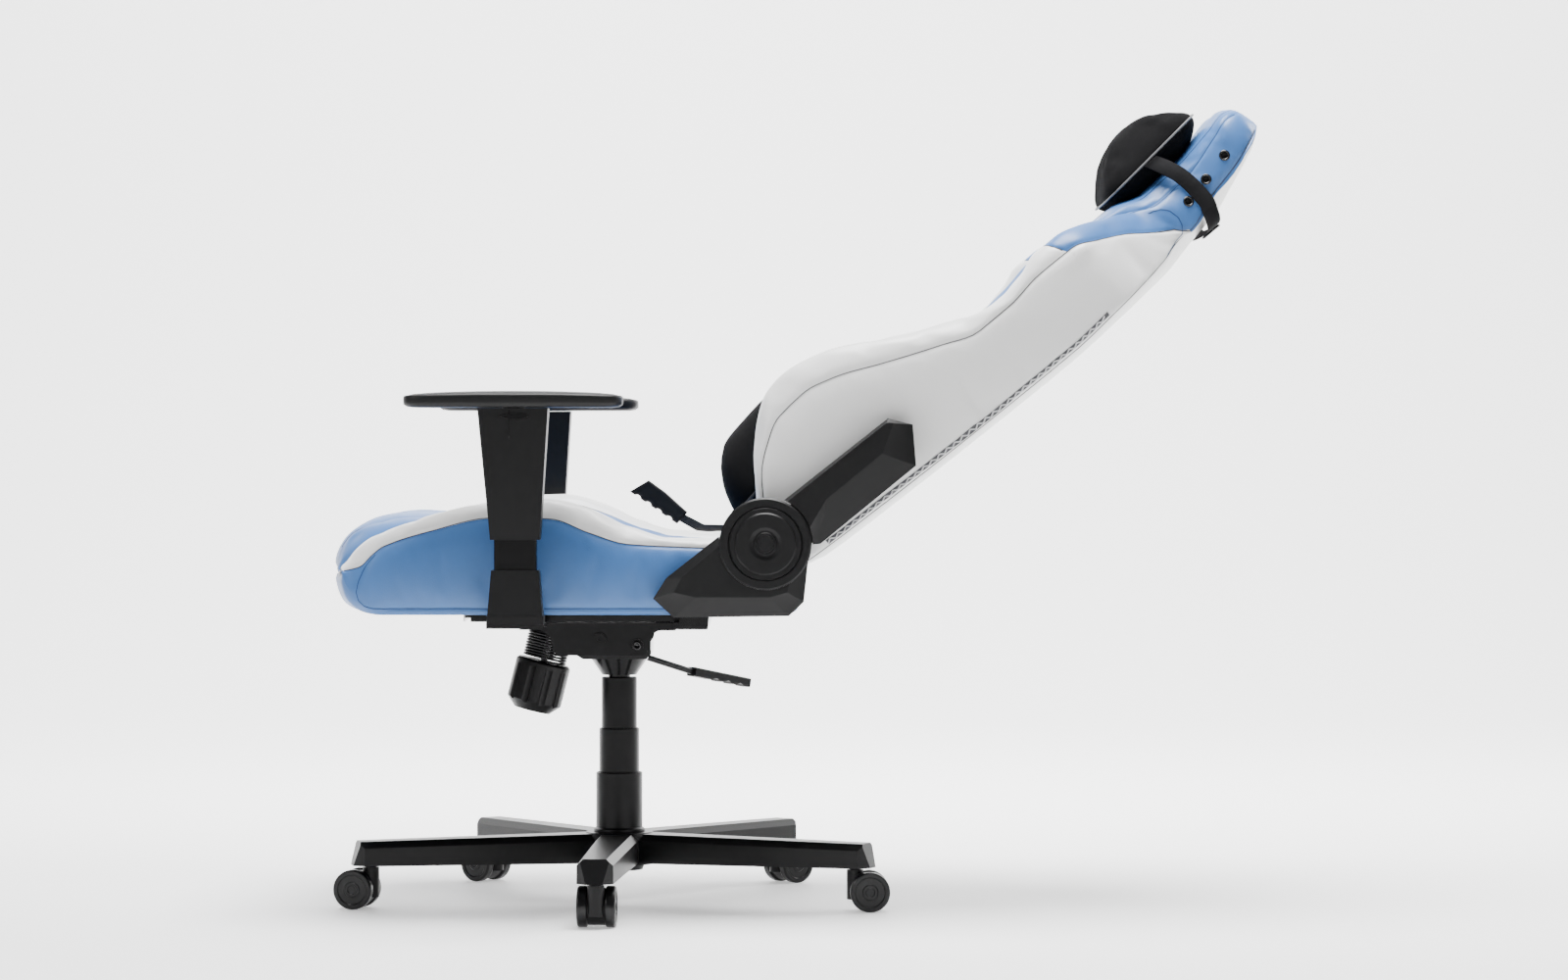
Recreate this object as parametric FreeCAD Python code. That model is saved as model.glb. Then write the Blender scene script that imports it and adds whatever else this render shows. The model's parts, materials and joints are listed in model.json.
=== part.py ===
"""Gaming chair with a reclining back, a tilting seat, adjustable arms and a five-star base on casters.

Frame: +Z up, the chair faces -Y, +X is the sitter's left.
The origin is on the floor, under the axis of the gas column. Millimetres.
The back is modelled fully reclined.
"""
import FreeCAD, Part
import math
import os

Vec = FreeCAD.Vector
X_AXIS = Vec(1, 0, 0)
Y_AXIS = Vec(0, 1, 0)
Z_AXIS = Vec(0, 0, 1)
ORIGIN = Vec(0, 0, 0)

RUN_GAP = 0.05                      # radial gap of a shaft that turns or slides in a hole
BODY_GAP = 0.3                      # gap between flat faces that move past each other

# ---- casters and star base
WHEEL_R = 25.0
WHEEL_INNER_X = 10.7
WHEEL_OUTER_X = 23.5
CASTER_TRAIL = 18.0
CASTER_STEM_R = 5.5
CASTER_RING_R = 320.0               # from the column axis to each caster stem
FIRST_ARM_DEG = -3.0                # direction of the first arm, from +X towards +Y
CASTER_TRAIL_DEG = (178.0, 92.0, 128.0, 232.0, 258.0)
ARM_COUNT = 5
HUB_R = 46.0
HUB_TOP_Z = 90.0
HUB_BOTTOM_Z = 50.0
ARM_TOP_Z = 85.0
ARM_BOTTOM_Z = 55.0
ARM_TIP_R = 344.0

# ---- gas column
COLUMN_R = 20.0
COLUMN_TOP_Z = 190.0
GAS_R = 14.0
GAS_BOTTOM_Z = 150.0
GAS_TOP_Z = 330.0
PISTON_ROD_R = 5.0
COVER_LOWER_R = 29.5
COVER_MIDDLE_R = 25.5
COVER_UPPER_R = 22.5
COVER_WALL = 2.2
COVER_LAP = 10.0                    # how far each cover reaches into the next when the seat is up
COVER_LOWER_TOP_Z = 166.0
COVER_MIDDLE_TOP_Z = 222.0
COVER_UPPER_TOP_Z = 287.0

# ---- tilt mechanism
TILT_Y = -22.0                      # tilt pivot
TILT_Z = 338.0
TILT_PIN_R = 5.0
HOUSING_BOTTOM_Z = 290.0
SIDE_PLATE_X = 75.0                 # outer face of the seat plate's side walls
SHEET = 2.5                         # steel sheet of the seat plate
FLANGE_Z = 357.0                    # underside of the seat plate's top
KNOB_TOP_Y = -96.0
KNOB_TOP_Z = 307.0
KNOB_LEAN_DEG = 14.0
KNOB_R = 35.0
KNOB_BODY = 52.0
KNOB_BEVEL = 12.0
SPRING_R = 27.0
SPRING_WIRE_R = 1.5
SPRING_PITCH = 3.75
SPRING_LENGTH = 35.0
BOLT_R = 4.5
BOLT_HEAD_R = 9.0
LEVER_Y = 20.0                      # axis of the height lever
LEVER_Z = 311.0
LEVER_ROD_R = 3.95
LEVER_GRIP_START = Vec(-158, 89, 285.5)
LEVER_GRIP_END = Vec(-222, 160, 267.5)
SLIDER_R = 6.0

# ---- seat
SEAT_HALF_WIDTH = 252.0
SEAT_BOTTOM_Z = 374.2
SEAT_WELL_HALF = 158.0              # half width of the low centre between the side bolsters
PAN_TOP_Z = 373.7
PAN_BOTTOM_Z = 366.0
BRACKET_Z = 358.0                   # underside of the recline bracket's cross bar

# ---- recline hinge and back
PIVOT_Y = 187.4
PIVOT_Z = 462.8
BACK_ANGLE_DEG = 40.0               # of the fully reclined back, above the horizontal
HINGE_PLATE_X = 256.0
HINGE_PLATE_T = 4.0
ARM_PLATE_X = 262.0
PIN_R = 7.0
COVER_INNER_X = 260.3
COVER_OUTER_X = 286.0
CAP_R = 56.0
BACK_HALF_WIDTH = 253.0
BACK_WELL_HALF = 160.0
FRAME_TUBE_R = 11.0
FRAME_TUBE_WALL = 1.5
FRAME_SIDE_X = 222.0
FRAME_LOW = 45.0                    # along the back, of the tube frame's lowest and highest runs
FRAME_HIGH = 740.0

STRAP_ALONG = 672.0                 # lower edge of the head strap, along the back
STRAP_LEAN_DEG = 12.0

# ---- armrests
ARM_X = 290.0
ARM_Y = -115.0
POST_X = 22.0
POST_Y = 52.0
POST_WALL = 2.5
POST_TOP_Z = 575.0
FOOT_TOP_Z = 431.0
SLEEVE_BOTTOM_Z = 468.0
SLEEVE_TOP_Z = 627.0
PAD_Y = -117.5
PAD_LENGTH = 265.0
PAD_WIDTH = 92.0
PAD_TOP_Z = 647.0
PAD_SLIDE = 25.0
TURNTABLE_R = 20.0
TURNTABLE_NECK_R = 14.0
BUTTON_Z = 617.5


# ---------------------------------------------------------------- helpers
def box(x_range, y_range, z_range):
    """A box between two limits along each axis."""
    size = [high - low for low, high in (x_range, y_range, z_range)]
    return Part.makeBox(*size, Vec(x_range[0], y_range[0], z_range[0]))


def z_cylinder(radius, z_low, z_high, x=0.0, y=0.0):
    return Part.makeCylinder(radius, z_high - z_low, Vec(x, y, z_low), Z_AXIS)


def x_cylinder(radius, x_low, x_high, y, z):
    return Part.makeCylinder(radius, x_high - x_low, Vec(x_low, y, z), X_AXIS)


def rod_between(start, end, radius):
    return Part.makeCylinder(radius, (end - start).Length, start, end - start)


def revolve_z(profile):
    """A closed (radius, z) profile turned round the Z axis."""
    points = [Vec(radius, 0, z) for radius, z in profile]
    face = Part.Face(Part.makePolygon(points + points[:1]))
    return face.revolve(ORIGIN, Z_AXIS, 360)


def polygon_face(points):
    return Part.Face(Part.makePolygon(points + points[:1]))


def side_prism(outline, x_low, x_high):
    """A straight-sided (Y, Z) outline extruded along X."""
    face = polygon_face([Vec(x_low, y, z) for y, z in outline])
    return face.extrude(Vec(x_high - x_low, 0, 0))


def side_loft(outline_a, x_a, outline_b, x_b):
    """A ruled solid between two (Y, Z) outlines with as many corners each."""
    wires = []
    for outline, x in ((outline_a, x_a), (outline_b, x_b)):
        points = [Vec(x, y, z) for y, z in outline]
        wires.append(Part.makePolygon(points + points[:1]))
    return Part.makeLoft(wires, True, True)


def smooth_prism(curves, x_low, x_high):
    """A (Y, Z) outline of smooth curves, joined end to end by straight lines, extruded along X."""
    edges = []
    first = None
    last = None
    for curve in curves:
        points = [Vec(x_low, y, z) for y, z in curve]
        if last is not None and (points[0] - last).Length > 0.01:
            edges.append(Part.makeLine(last, points[0]))
        if len(points) == 2:
            edges.append(Part.makeLine(points[0], points[1]))
        else:
            spline = Part.BSplineCurve()
            spline.interpolate(points)
            edges.append(spline.toShape())
        first = first or points[0]
        last = points[-1]
    if (last - first).Length > 0.01:
        edges.append(Part.makeLine(last, first))
    return Part.Face(Part.Wire(edges)).extrude(Vec(x_high - x_low, 0, 0))


def slab_loft(half_x_a, half_y_a, z_a, half_x_b, half_y_b, z_b, y_a, y_b, x=ARM_X):
    """A tapered block between two rectangles at two heights."""
    wires = []
    for half_x, half_y, z, y in ((half_x_a, half_y_a, z_a, y_a), (half_x_b, half_y_b, z_b, y_b)):
        corners = [
            Vec(x - half_x, y - half_y, z),
            Vec(x + half_x, y - half_y, z),
            Vec(x + half_x, y + half_y, z),
            Vec(x - half_x, y + half_y, z),
        ]
        wires.append(Part.makePolygon(corners + corners[:1]))
    return Part.makeLoft(wires, True, True)


def mirrored(shape):
    """The same piece for the other side of the chair."""
    return shape.mirror(ORIGIN, X_AXIS)


def turned(shape, degrees):
    copy = shape.copy()
    copy.rotate(ORIGIN, Z_AXIS, degrees)
    return copy


def fuse_all(shapes):
    return shapes[0].multiFuse(shapes[1:]).removeSplitter()


def rounded(shape, radius, wanted):
    """Fillets the edges that the test wants."""
    return shape.makeFillet(radius, [edge for edge in shape.Edges if wanted(edge)])


def runs_along(edge, axis):
    if len(edge.Vertexes) != 2:
        return False
    step = edge.Vertexes[1].Point - edge.Vertexes[0].Point
    return step.Length > 1 and abs(step.dot(axis)) > 0.999 * step.Length


def back_point(along, front):
    """(Y, Z) of a place on the back: so far along it from the hinge, so far in front of the hinge."""
    angle = math.radians(BACK_ANGLE_DEG)
    y = PIVOT_Y + along * math.cos(angle) - front * math.sin(angle)
    z = PIVOT_Z + along * math.sin(angle) + front * math.cos(angle)
    return y, z


def back_points(pairs):
    return [back_point(along, front) for along, front in pairs]


def back_vec(x, along, front):
    return Vec(x, *back_point(along, front))


def save(name, *solids):
    shape = solids[0] if len(solids) == 1 else Part.makeCompound(solids)
    shape.exportStep("parts/" + name + ".step")


# ---------------------------------------------------------------- base and casters
def star_arm():
    """One arm along +X: a tapered bar with bevelled top edges and a slanted tip, hollow below."""
    sections = []
    ends = ((20, 27, HUB_TOP_Z - 1, HUB_BOTTOM_Z + 2), (ARM_TIP_R, 22, ARM_TOP_Z, ARM_BOTTOM_Z))
    for radius, half, top, bottom in ends:
        bevel = 8.0
        points = [
            Vec(radius, -half, bottom),
            Vec(radius, -half, top - bevel),
            Vec(radius, -half + bevel, top),
            Vec(radius, half - bevel, top),
            Vec(radius, half, top - bevel),
            Vec(radius, half, bottom),
        ]
        sections.append(Part.makePolygon(points + points[:1]))
    arm = Part.makeLoft(sections, True, True)
    tip_plan = polygon_face([
        Vec(0, -60, 0), Vec(ARM_TIP_R - 12, -60, 0), Vec(ARM_TIP_R - 12, -22, 0), Vec(ARM_TIP_R, -10, 0),
        Vec(ARM_TIP_R, 10, 0), Vec(ARM_TIP_R - 12, 22, 0), Vec(ARM_TIP_R - 12, 60, 0), Vec(0, 60, 0),
    ])
    arm = arm.common(tip_plan.extrude(Vec(0, 0, 120)))
    slant = box((0, 40), (-60, 60), (ARM_BOTTOM_Z, ARM_TOP_Z + 9))
    slant.rotate(Vec(0, 0, ARM_BOTTOM_Z), Y_AXIS, -16)
    slant.translate(Vec(ARM_TIP_R, 0, 0))
    arm = arm.cut(slant)
    rib_pitch = 48.0
    for index in range(5):
        start = HUB_R + 12 + index * rib_pitch
        pocket = box((start, start + rib_pitch - 4), (-19, 19), (40, ARM_TOP_Z - 8))
        arm = arm.cut(pocket.cut(z_cylinder(14, 40, 100, CASTER_RING_R)))
    return arm.cut(z_cylinder(CASTER_STEM_R + RUN_GAP, 40, ARM_TOP_Z - 4, CASTER_RING_R))


def star_base():
    hub = revolve_z([
        (0, HUB_BOTTOM_Z - 8), (30, HUB_BOTTOM_Z - 8), (33, HUB_BOTTOM_Z), (HUB_R, HUB_BOTTOM_Z),
        (HUB_R, HUB_TOP_Z - 4), (HUB_R - 4, HUB_TOP_Z), (0, HUB_TOP_Z),
    ])
    arms = [turned(star_arm(), FIRST_ARM_DEG + index * 360 / ARM_COUNT) for index in range(ARM_COUNT)]
    base = fuse_all([hub] + arms)
    return base.cut(z_cylinder(COLUMN_R, 30, 100))


def column_tube():
    """Outer tube of the gas lift: a guide bush at the top, a bearing floor at the bottom."""
    floor_z = HUB_BOTTOM_Z - 8
    return revolve_z([
        (PISTON_ROD_R + 8, floor_z), (COLUMN_R, floor_z), (COLUMN_R, COLUMN_TOP_Z),
        (GAS_R + RUN_GAP, COLUMN_TOP_Z), (GAS_R + RUN_GAP, COLUMN_TOP_Z - 38),
        (COLUMN_R - 2.5, COLUMN_TOP_Z - 40), (COLUMN_R - 2.5, floor_z + 4), (PISTON_ROD_R + 8, floor_z + 4),
    ])


def piston_rod():
    """Rod with a foot that stands in the column tube and a piston inside the gas cylinder."""
    foot_z = HUB_BOTTOM_Z - 4 + RUN_GAP
    piston_z = GAS_BOTTOM_Z + 12
    piston_r = GAS_R - 2 - RUN_GAP
    return revolve_z([
        (0, foot_z), (16, foot_z), (16, foot_z + 6), (PISTON_ROD_R, foot_z + 6),
        (PISTON_ROD_R, piston_z), (piston_r, piston_z), (piston_r, piston_z + 10), (0, piston_z + 10),
    ])


def gas_cylinder():
    bore = GAS_R - 2
    neck = PISTON_ROD_R + RUN_GAP
    return revolve_z([
        (neck, GAS_BOTTOM_Z), (GAS_R, GAS_BOTTOM_Z), (GAS_R, GAS_TOP_Z - 3), (GAS_R - 3, GAS_TOP_Z),
        (0, GAS_TOP_Z), (0, GAS_TOP_Z - 8), (bore, GAS_TOP_Z - 8), (bore, GAS_BOTTOM_Z + 6),
        (neck, GAS_BOTTOM_Z + 6),
    ])


def column_cover(radius, z_low, z_high, foot=0.0, lid_hole=0.0):
    """One thin telescopic sleeve. The lowest has a foot ring, the upper one a lid round the cylinder."""
    inner = radius - COVER_WALL
    profile = [(inner, z_low)]
    if foot:
        profile += [(radius + foot, z_low), (radius + foot, z_low + 4), (radius, z_low + 6)]
    else:
        profile += [(radius, z_low)]
    profile += [(radius, z_high - 1), (radius - 1, z_high)]
    if lid_hole:
        profile += [(lid_hole, z_high), (lid_hole, z_high - 3), (inner, z_high - 3)]
    else:
        profile += [(inner, z_high)]
    return revolve_z(profile)


def placed_caster(shape, index):
    """Moves a caster piece, made with its stem on the Z axis and trailing along +X, to its arm."""
    arm_angle = math.radians(FIRST_ARM_DEG + index * 360 / ARM_COUNT)
    copy = turned(shape, CASTER_TRAIL_DEG[index])
    copy.translate(Vec(CASTER_RING_R * math.cos(arm_angle), CASTER_RING_R * math.sin(arm_angle), 0))
    return copy


def caster_frame():
    """Body between the wheels with a hood over them, a stem that turns in the arm, and the axle."""
    half = WHEEL_INNER_X - BODY_GAP
    reach = WHEEL_OUTER_X - 3
    axle = Part.makeCylinder(3.5, 2 * reach, Vec(CASTER_TRAIL, -reach, WHEEL_R), Y_AXIS)
    disc = Part.makeCylinder(WHEEL_R - 2.5, 2 * half, Vec(CASTER_TRAIL, -half, WHEEL_R), Y_AXIS)
    boss = z_cylinder(half, WHEEL_R - 10, 2 * WHEEL_R + 2)
    bridge = box((0, CASTER_TRAIL), (-half, half), (WHEEL_R - 10, 2 * WHEEL_R - 2.5))
    collar = z_cylinder(7, 2 * WHEEL_R, ARM_BOTTOM_Z - BODY_GAP)
    stem = z_cylinder(CASTER_STEM_R, 2 * WHEEL_R, ARM_TOP_Z - 6)
    return fuse_all([disc, boss, bridge, collar, stem, axle])


def caster_wheel(side):
    """A wheel with a rounded tread and a face ring. Its axis is Y, beside the caster's body."""
    width = WHEEL_OUTER_X - WHEEL_INNER_X
    ring_r = 0.8 * WHEEL_R
    wheel = revolve_z([
        (0, width - 1.2), (5, width - 1.2), (6, width - 0.2), (9, width - 0.2), (10, width - 1.2),
        (ring_r - 2, width - 1.2), (ring_r - 1, width), (WHEEL_R - 2, width), (WHEEL_R - 0.5, width - 1),
        (WHEEL_R, width - 2.5), (WHEEL_R, 2.5), (WHEEL_R - 0.5, 1), (WHEEL_R - 2, 0),
        (3.5 + RUN_GAP, 0), (3.5 + RUN_GAP, width - 2.6), (0, width - 2.6),
    ])
    wheel.rotate(ORIGIN, X_AXIS, -90 * side)
    wheel.translate(Vec(CASTER_TRAIL, side * WHEEL_INNER_X, WHEEL_R))
    return wheel


# ---------------------------------------------------------------- tilt mechanism
def knob_axis_point(distance):
    """A point on the tension bolt's axis, measured upwards from the knob's top."""
    lean = math.radians(KNOB_LEAN_DEG)
    return Vec(0, KNOB_TOP_Y + distance * math.sin(lean), KNOB_TOP_Z + distance * math.cos(lean))


def leaning(shape):
    """Moves a piece made on the Z axis, with z = 0 at the knob's top, onto the bolt's axis."""
    copy = shape.copy()
    copy.rotate(ORIGIN, X_AXIS, -KNOB_LEAN_DEG)
    copy.translate(knob_axis_point(0))
    return copy


def tilt_housing():
    """Cast body: a faceted cone for the gas cylinder, a block with bosses, and the spring seat."""
    cone = Part.makeCone(22.5, 38, 23, Vec(0, 0, HOUSING_BOTTOM_Z), Z_AXIS)
    side_outline = [(-54, 318), (-44, 312), (36, 312), (42, 318), (42, 335), (TILT_Y, 350), (-54, 350)]
    block = side_prism(side_outline, -56, 56)
    boss = x_cylinder(12, -SIDE_PLATE_X + SHEET + BODY_GAP, SIDE_PLATE_X - SHEET - BODY_GAP, TILT_Y, TILT_Z)
    seat = leaning(z_cylinder(31, SPRING_LENGTH + 0.5, SPRING_LENGTH + 4.5))
    web = side_prism([(-72, 340), (-50, 336), (-50, 350), (-82, 350)], -22, 22)
    housing = fuse_all([cone, block, boss, seat, web])
    slot_half = BOLT_HEAD_R + 1
    slot = Part.makeBox(2 * slot_half, 30, 30, Vec(-slot_half, -13, SPRING_LENGTH - 10))
    housing = housing.cut(leaning(slot))
    housing = housing.cut(x_cylinder(TILT_PIN_R + RUN_GAP, -90, 90, TILT_Y, TILT_Z))
    housing = housing.cut(x_cylinder(SLIDER_R + RUN_GAP, -60, -12, LEVER_Y, LEVER_Z))
    return housing.cut(z_cylinder(GAS_R, 280, GAS_TOP_Z))


def tilt_pivot_pin():
    """Pin right through the seat plate's walls, with a socket in each head."""
    length = SIDE_PLATE_X + 3
    pin = x_cylinder(TILT_PIN_R, -length, length, TILT_Y, TILT_Z)
    head = x_cylinder(8, SIDE_PLATE_X, length, TILT_Y, TILT_Z)
    socket = x_cylinder(2.5, length - 2, length + 1, TILT_Y, TILT_Z)
    pin = fuse_all([pin, head, mirrored(head)])
    return pin.cut(socket).cut(mirrored(socket))


def tension_bolt():
    """Bolt from the seat plate down through the spring seat and the spring into the knob."""
    lean = math.radians(KNOB_LEAN_DEG)
    length = (FLANGE_Z - KNOB_TOP_Z) / math.cos(lean)
    shank = leaning(z_cylinder(BOLT_R, -40, length + 8))
    head = leaning(z_cylinder(BOLT_HEAD_R, length - 8, length + 8))
    below_plate = box((-30, 30), (-150, 0), (200, FLANGE_Z))
    return fuse_all([shank, head]).common(below_plate)


def tension_spring():
    """Coil of eight-sided wire round the bolt, between the knob and the spring seat."""
    helix = Part.makeLongHelix(SPRING_PITCH, SPRING_LENGTH - 2 * SPRING_WIRE_R, SPRING_R)
    corners = []
    for index in range(8):
        angle = math.radians(45 * index)
        corners.append(Vec(SPRING_R + SPRING_WIRE_R * math.cos(angle), 0, SPRING_WIRE_R * math.sin(angle)))
    section = Part.makePolygon(corners + corners[:1])
    coil = Part.Wire(helix.Edges).makePipeShell([section], True, True)
    coil.translate(Vec(0, 0, SPRING_WIRE_R + 0.2))
    return leaning(coil)


def tension_knob():
    """Round knob with grip flutes, a bevelled lower end and a dished top."""
    bottom = -KNOB_BODY - KNOB_BEVEL
    knob = revolve_z([
        (0, bottom), (KNOB_R - 12, bottom), (KNOB_R, -KNOB_BODY), (KNOB_R, -3), (KNOB_R - 3, 0), (0, 0),
    ])
    flute_r = 5.5
    flutes = 10
    for index in range(flutes):
        angle = 2 * math.pi * (index + 0.5) / flutes
        reach = KNOB_R + 2.6
        flute = z_cylinder(flute_r, bottom - 1, -8, reach * math.cos(angle), reach * math.sin(angle))
        knob = knob.cut(flute)
    knob = knob.cut(z_cylinder(BOLT_R + RUN_GAP, -41, 1))
    return leaning(knob)


def lock_slider():
    """Sleeve that the height lever turns in, with a collar that stops it against the housing."""
    sleeve = x_cylinder(SLIDER_R, -60, -30, LEVER_Y, LEVER_Z)
    collar = x_cylinder(SLIDER_R + 2.5, -60, -56 - BODY_GAP, LEVER_Y, LEVER_Z)
    bore = x_cylinder(LEVER_ROD_R + RUN_GAP, -61, -29, LEVER_Y, LEVER_Z)
    return fuse_all([sleeve, collar]).cut(bore)


def height_lever():
    """Bent rod: a straight journal in the sleeve, then outwards and back to the grip."""
    journal_end = Vec(-96, LEVER_Y, LEVER_Z)
    journal = rod_between(Vec(-32, LEVER_Y, LEVER_Z), journal_end, LEVER_ROD_R)
    elbow = Part.makeSphere(LEVER_ROD_R, journal_end)
    inside_grip = LEVER_GRIP_START + (LEVER_GRIP_END - LEVER_GRIP_START) * 0.5
    knee = Part.makeSphere(LEVER_ROD_R, LEVER_GRIP_START)
    reach = rod_between(journal_end, LEVER_GRIP_START, LEVER_ROD_R)
    tail = rod_between(LEVER_GRIP_START, inside_grip, LEVER_ROD_R)
    return fuse_all([journal, elbow, reach, knee, tail])


def height_lever_grip():
    """Flat moulded grip with three finger hollows along its lower edge."""
    run = LEVER_GRIP_END - LEVER_GRIP_START
    length = run.Length
    half_width = 9.0
    half_height = 6.0
    grip = Part.makeBox(length, 2 * half_width, 2 * half_height, Vec(0, -half_width, -half_height))
    grip = rounded(grip, 2.5, lambda edge: runs_along(edge, X_AXIS))
    for index in range(3):
        hollow_start = Vec(length * (0.38 + 0.22 * index), -2 * half_width, -half_height - 5.0)
        grip = grip.cut(Part.makeCylinder(8, 4 * half_width, hollow_start, Y_AXIS))
    heading = math.degrees(math.atan2(run.y, run.x))
    fall = math.degrees(math.atan2(-run.z, math.hypot(run.x, run.y)))
    grip.rotate(ORIGIN, Y_AXIS, fall)
    grip.rotate(ORIGIN, Z_AXIS, heading)
    grip.translate(LEVER_GRIP_START)
    return grip.cut(height_lever())


def seat_plate():
    """Pressed steel U: side walls that flare into the top flange by round corners, and a top plate."""
    front = -123.0
    rear = 74.0
    low = 317.5
    flange = 350.0
    profile = [
        [(front, FLANGE_Z), (front, flange)],
        [(front, flange), (-103, flange)],
        [(-103, flange), (-88, 344), (-82, 330)],
        [(-82, 330), (-79, 323)],
        [(-79, 323), (-76.5, 319), (-72, low)],
        [(-72, low), (31, low)],
        [(31, low), (35.5, 319), (38, 323)],
        [(38, 323), (42, 336)],
        [(42, 336), (46, 345), (57, 349)],
        [(57, 349), (rear, 349)],
        [(rear, 349), (rear, FLANGE_Z)],
        [(rear, FLANGE_Z), (front, FLANGE_Z)],
    ]
    edges = []
    for places in profile:
        points = [Vec(0, y, z) for y, z in places]
        edges.append(Part.makeLine(*points) if len(points) == 2 else Part.Arc(*points).toShape())
    wall_face = Part.Face(Part.Wire(edges))
    walls = []
    for x in (-SIDE_PLATE_X, SIDE_PLATE_X - SHEET):
        wall = wall_face.extrude(Vec(SHEET, 0, 0))
        wall.translate(Vec(x, 0, 0))
        walls.append(wall)
    ring = x_cylinder(8, SIDE_PLATE_X, SIDE_PLATE_X + 1.2, 25, 330)
    top = box((-98, 98), (front, rear), (FLANGE_Z, FLANGE_Z + SHEET))
    pads = []
    for x in (-84, 84):
        for y in (-108, 58):
            pads.append(box((x - 9, x + 9), (y - 9, y + 9), (FLANGE_Z, PAN_BOTTOM_Z)))
    lug = box((58, SIDE_PLATE_X), (37, 42), (324, 335))
    plate = fuse_all(walls + [ring, top, lug] + pads)
    plate = plate.cut(x_cylinder(TILT_PIN_R, -90, 90, TILT_Y, TILT_Z))
    plate = plate.cut(x_cylinder(6, 60, 90, 25, 330))
    lever_notch = box((-80, -70), (LEVER_Y - 18, LEVER_Y + 22), (300, LEVER_Z + 22))
    return plate.cut(lever_notch)


# ---------------------------------------------------------------- seat
def seat_pan():
    """Pressed pan under the cushion with a turned-down rim."""
    sheet = 2.0
    outer = box((-225, 225), (-184, 117), (PAN_BOTTOM_Z, PAN_TOP_Z))
    outer = rounded(outer, 18, lambda edge: runs_along(edge, Z_AXIS))
    inner = box((-223, 223), (-182, 115), (PAN_BOTTOM_Z - 1, PAN_TOP_Z - sheet))
    pan = outer.cut(inner)
    stiffeners = [box((x - 16, x + 16), (-182, 115), (PAN_BOTTOM_Z, PAN_TOP_Z)) for x in (-84, 84)]
    cross = [box((-223, 223), y_range, (PAN_BOTTOM_Z, PAN_TOP_Z)) for y_range in ((-153, -77), (81, 115))]
    return fuse_all([pan] + stiffeners + cross)


def seat_cushion():
    """Foam body with raised side bolsters, a low centre and a rounded nose."""
    top = [
        (-355, 425), (-346, 462), (-318, 484), (-221, 498), (-90, 517), (-30, 504), (40, 475), (132, 468),
        (172, 459),
    ]
    front = [(-300, SEAT_BOTTOM_Z), (-343, 388), (-355, 425)]
    rear = [(172, 459), (212, 436), (232, 414)]
    base = [(232, 390), (216, SEAT_BOTTOM_Z)]
    body = smooth_prism([front, top, rear, base], -SEAT_HALF_WIDTH, SEAT_HALF_WIDTH)
    corners = [
        Vec(SEAT_HALF_WIDTH, -322, 0),
        Vec(SEAT_HALF_WIDTH, 240, 0),
        Vec(-SEAT_HALF_WIDTH, 240, 0),
        Vec(-SEAT_HALF_WIDTH, -322, 0),
    ]
    nose = Part.Arc(corners[-1], Vec(0, -357, 0), corners[0]).toShape()
    sides = [Part.makeLine(corners[index], corners[index + 1]) for index in range(3)]
    plan = Part.Face(Part.Wire([nose] + sides)).extrude(Vec(0, 0, 600))
    body = body.common(plan)
    floor = [(-300, 493), (-221, 494), (-90, 482), (60, 461), (130, 447), (190, 441), (250, 405)]
    well = smooth_prism([floor, [(250, 560), (-300, 560)]], -SEAT_WELL_HALF, SEAT_WELL_HALF)
    return body.cut(well)


def recline_bracket():
    """Cross bar under the seat pan and two upright plates that carry the hinge pins."""
    bar = box((-HINGE_PLATE_X, HINGE_PLATE_X), (75, 117), (BRACKET_Z, PAN_BOTTOM_Z))
    outline = [
        (81, BRACKET_Z), (117, BRACKET_Z), (119, 378), (206, 388),
        (222, 455), (212, 490), (160, 490), (90, 420),
    ]
    plate = side_prism(outline, HINGE_PLATE_X, HINGE_PLATE_X + HINGE_PLATE_T)
    plate = plate.cut(x_cylinder(PIN_R, 200, 300, PIVOT_Y, PIVOT_Z))
    return bar, plate, mirrored(plate)


def hinge_pin():
    """Shouldered pin through the fixed plate and the back's arm plate, with a retaining disc."""
    shank = x_cylinder(PIN_R, HINGE_PLATE_X - 2, 270, PIVOT_Y, PIVOT_Z)
    head = x_cylinder(12, HINGE_PLATE_X - 3.4, HINGE_PLATE_X, PIVOT_Y, PIVOT_Z)
    disc = x_cylinder(14, 266 + BODY_GAP, 270, PIVOT_Y, PIVOT_Z)
    return fuse_all([shank, head, disc])


SEAT_COVER_OUTLINE = [(130, 471), (67, 421), (51, 396), (76, 373), (216, 375), (234, 392), (241, 457)]
SEAT_COVER_FACE = [(134, 462), (86, 422), (76, 404), (103, 398), (192, 398), (214, 404), (224, 452)]


def inset_outline(outline, amount):
    """The outline moved inwards by the same amount all round."""
    wire = Part.makePolygon([Vec(0, y, z) for y, z in outline + outline[:1]])
    return Part.Face(wire.makeOffset2D(-amount, 2))


def lever_sweep():
    """The room the recline lever's bar and ring need over the whole of their travel."""
    base = COVER_OUTER_X - 3
    outline = [
        (PIVOT_Y, PIVOT_Z - 18),
        (PIVOT_Y - 70, PIVOT_Z - 14),
        (PIVOT_Y - 60, PIVOT_Z + 60),
        (PIVOT_Y, PIVOT_Z + 28),
    ]
    bar = side_prism(outline, base, base + 4.5)
    return bar.fuse(x_cylinder(30, base, base + 4.5, PIVOT_Y, PIVOT_Z))


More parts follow.
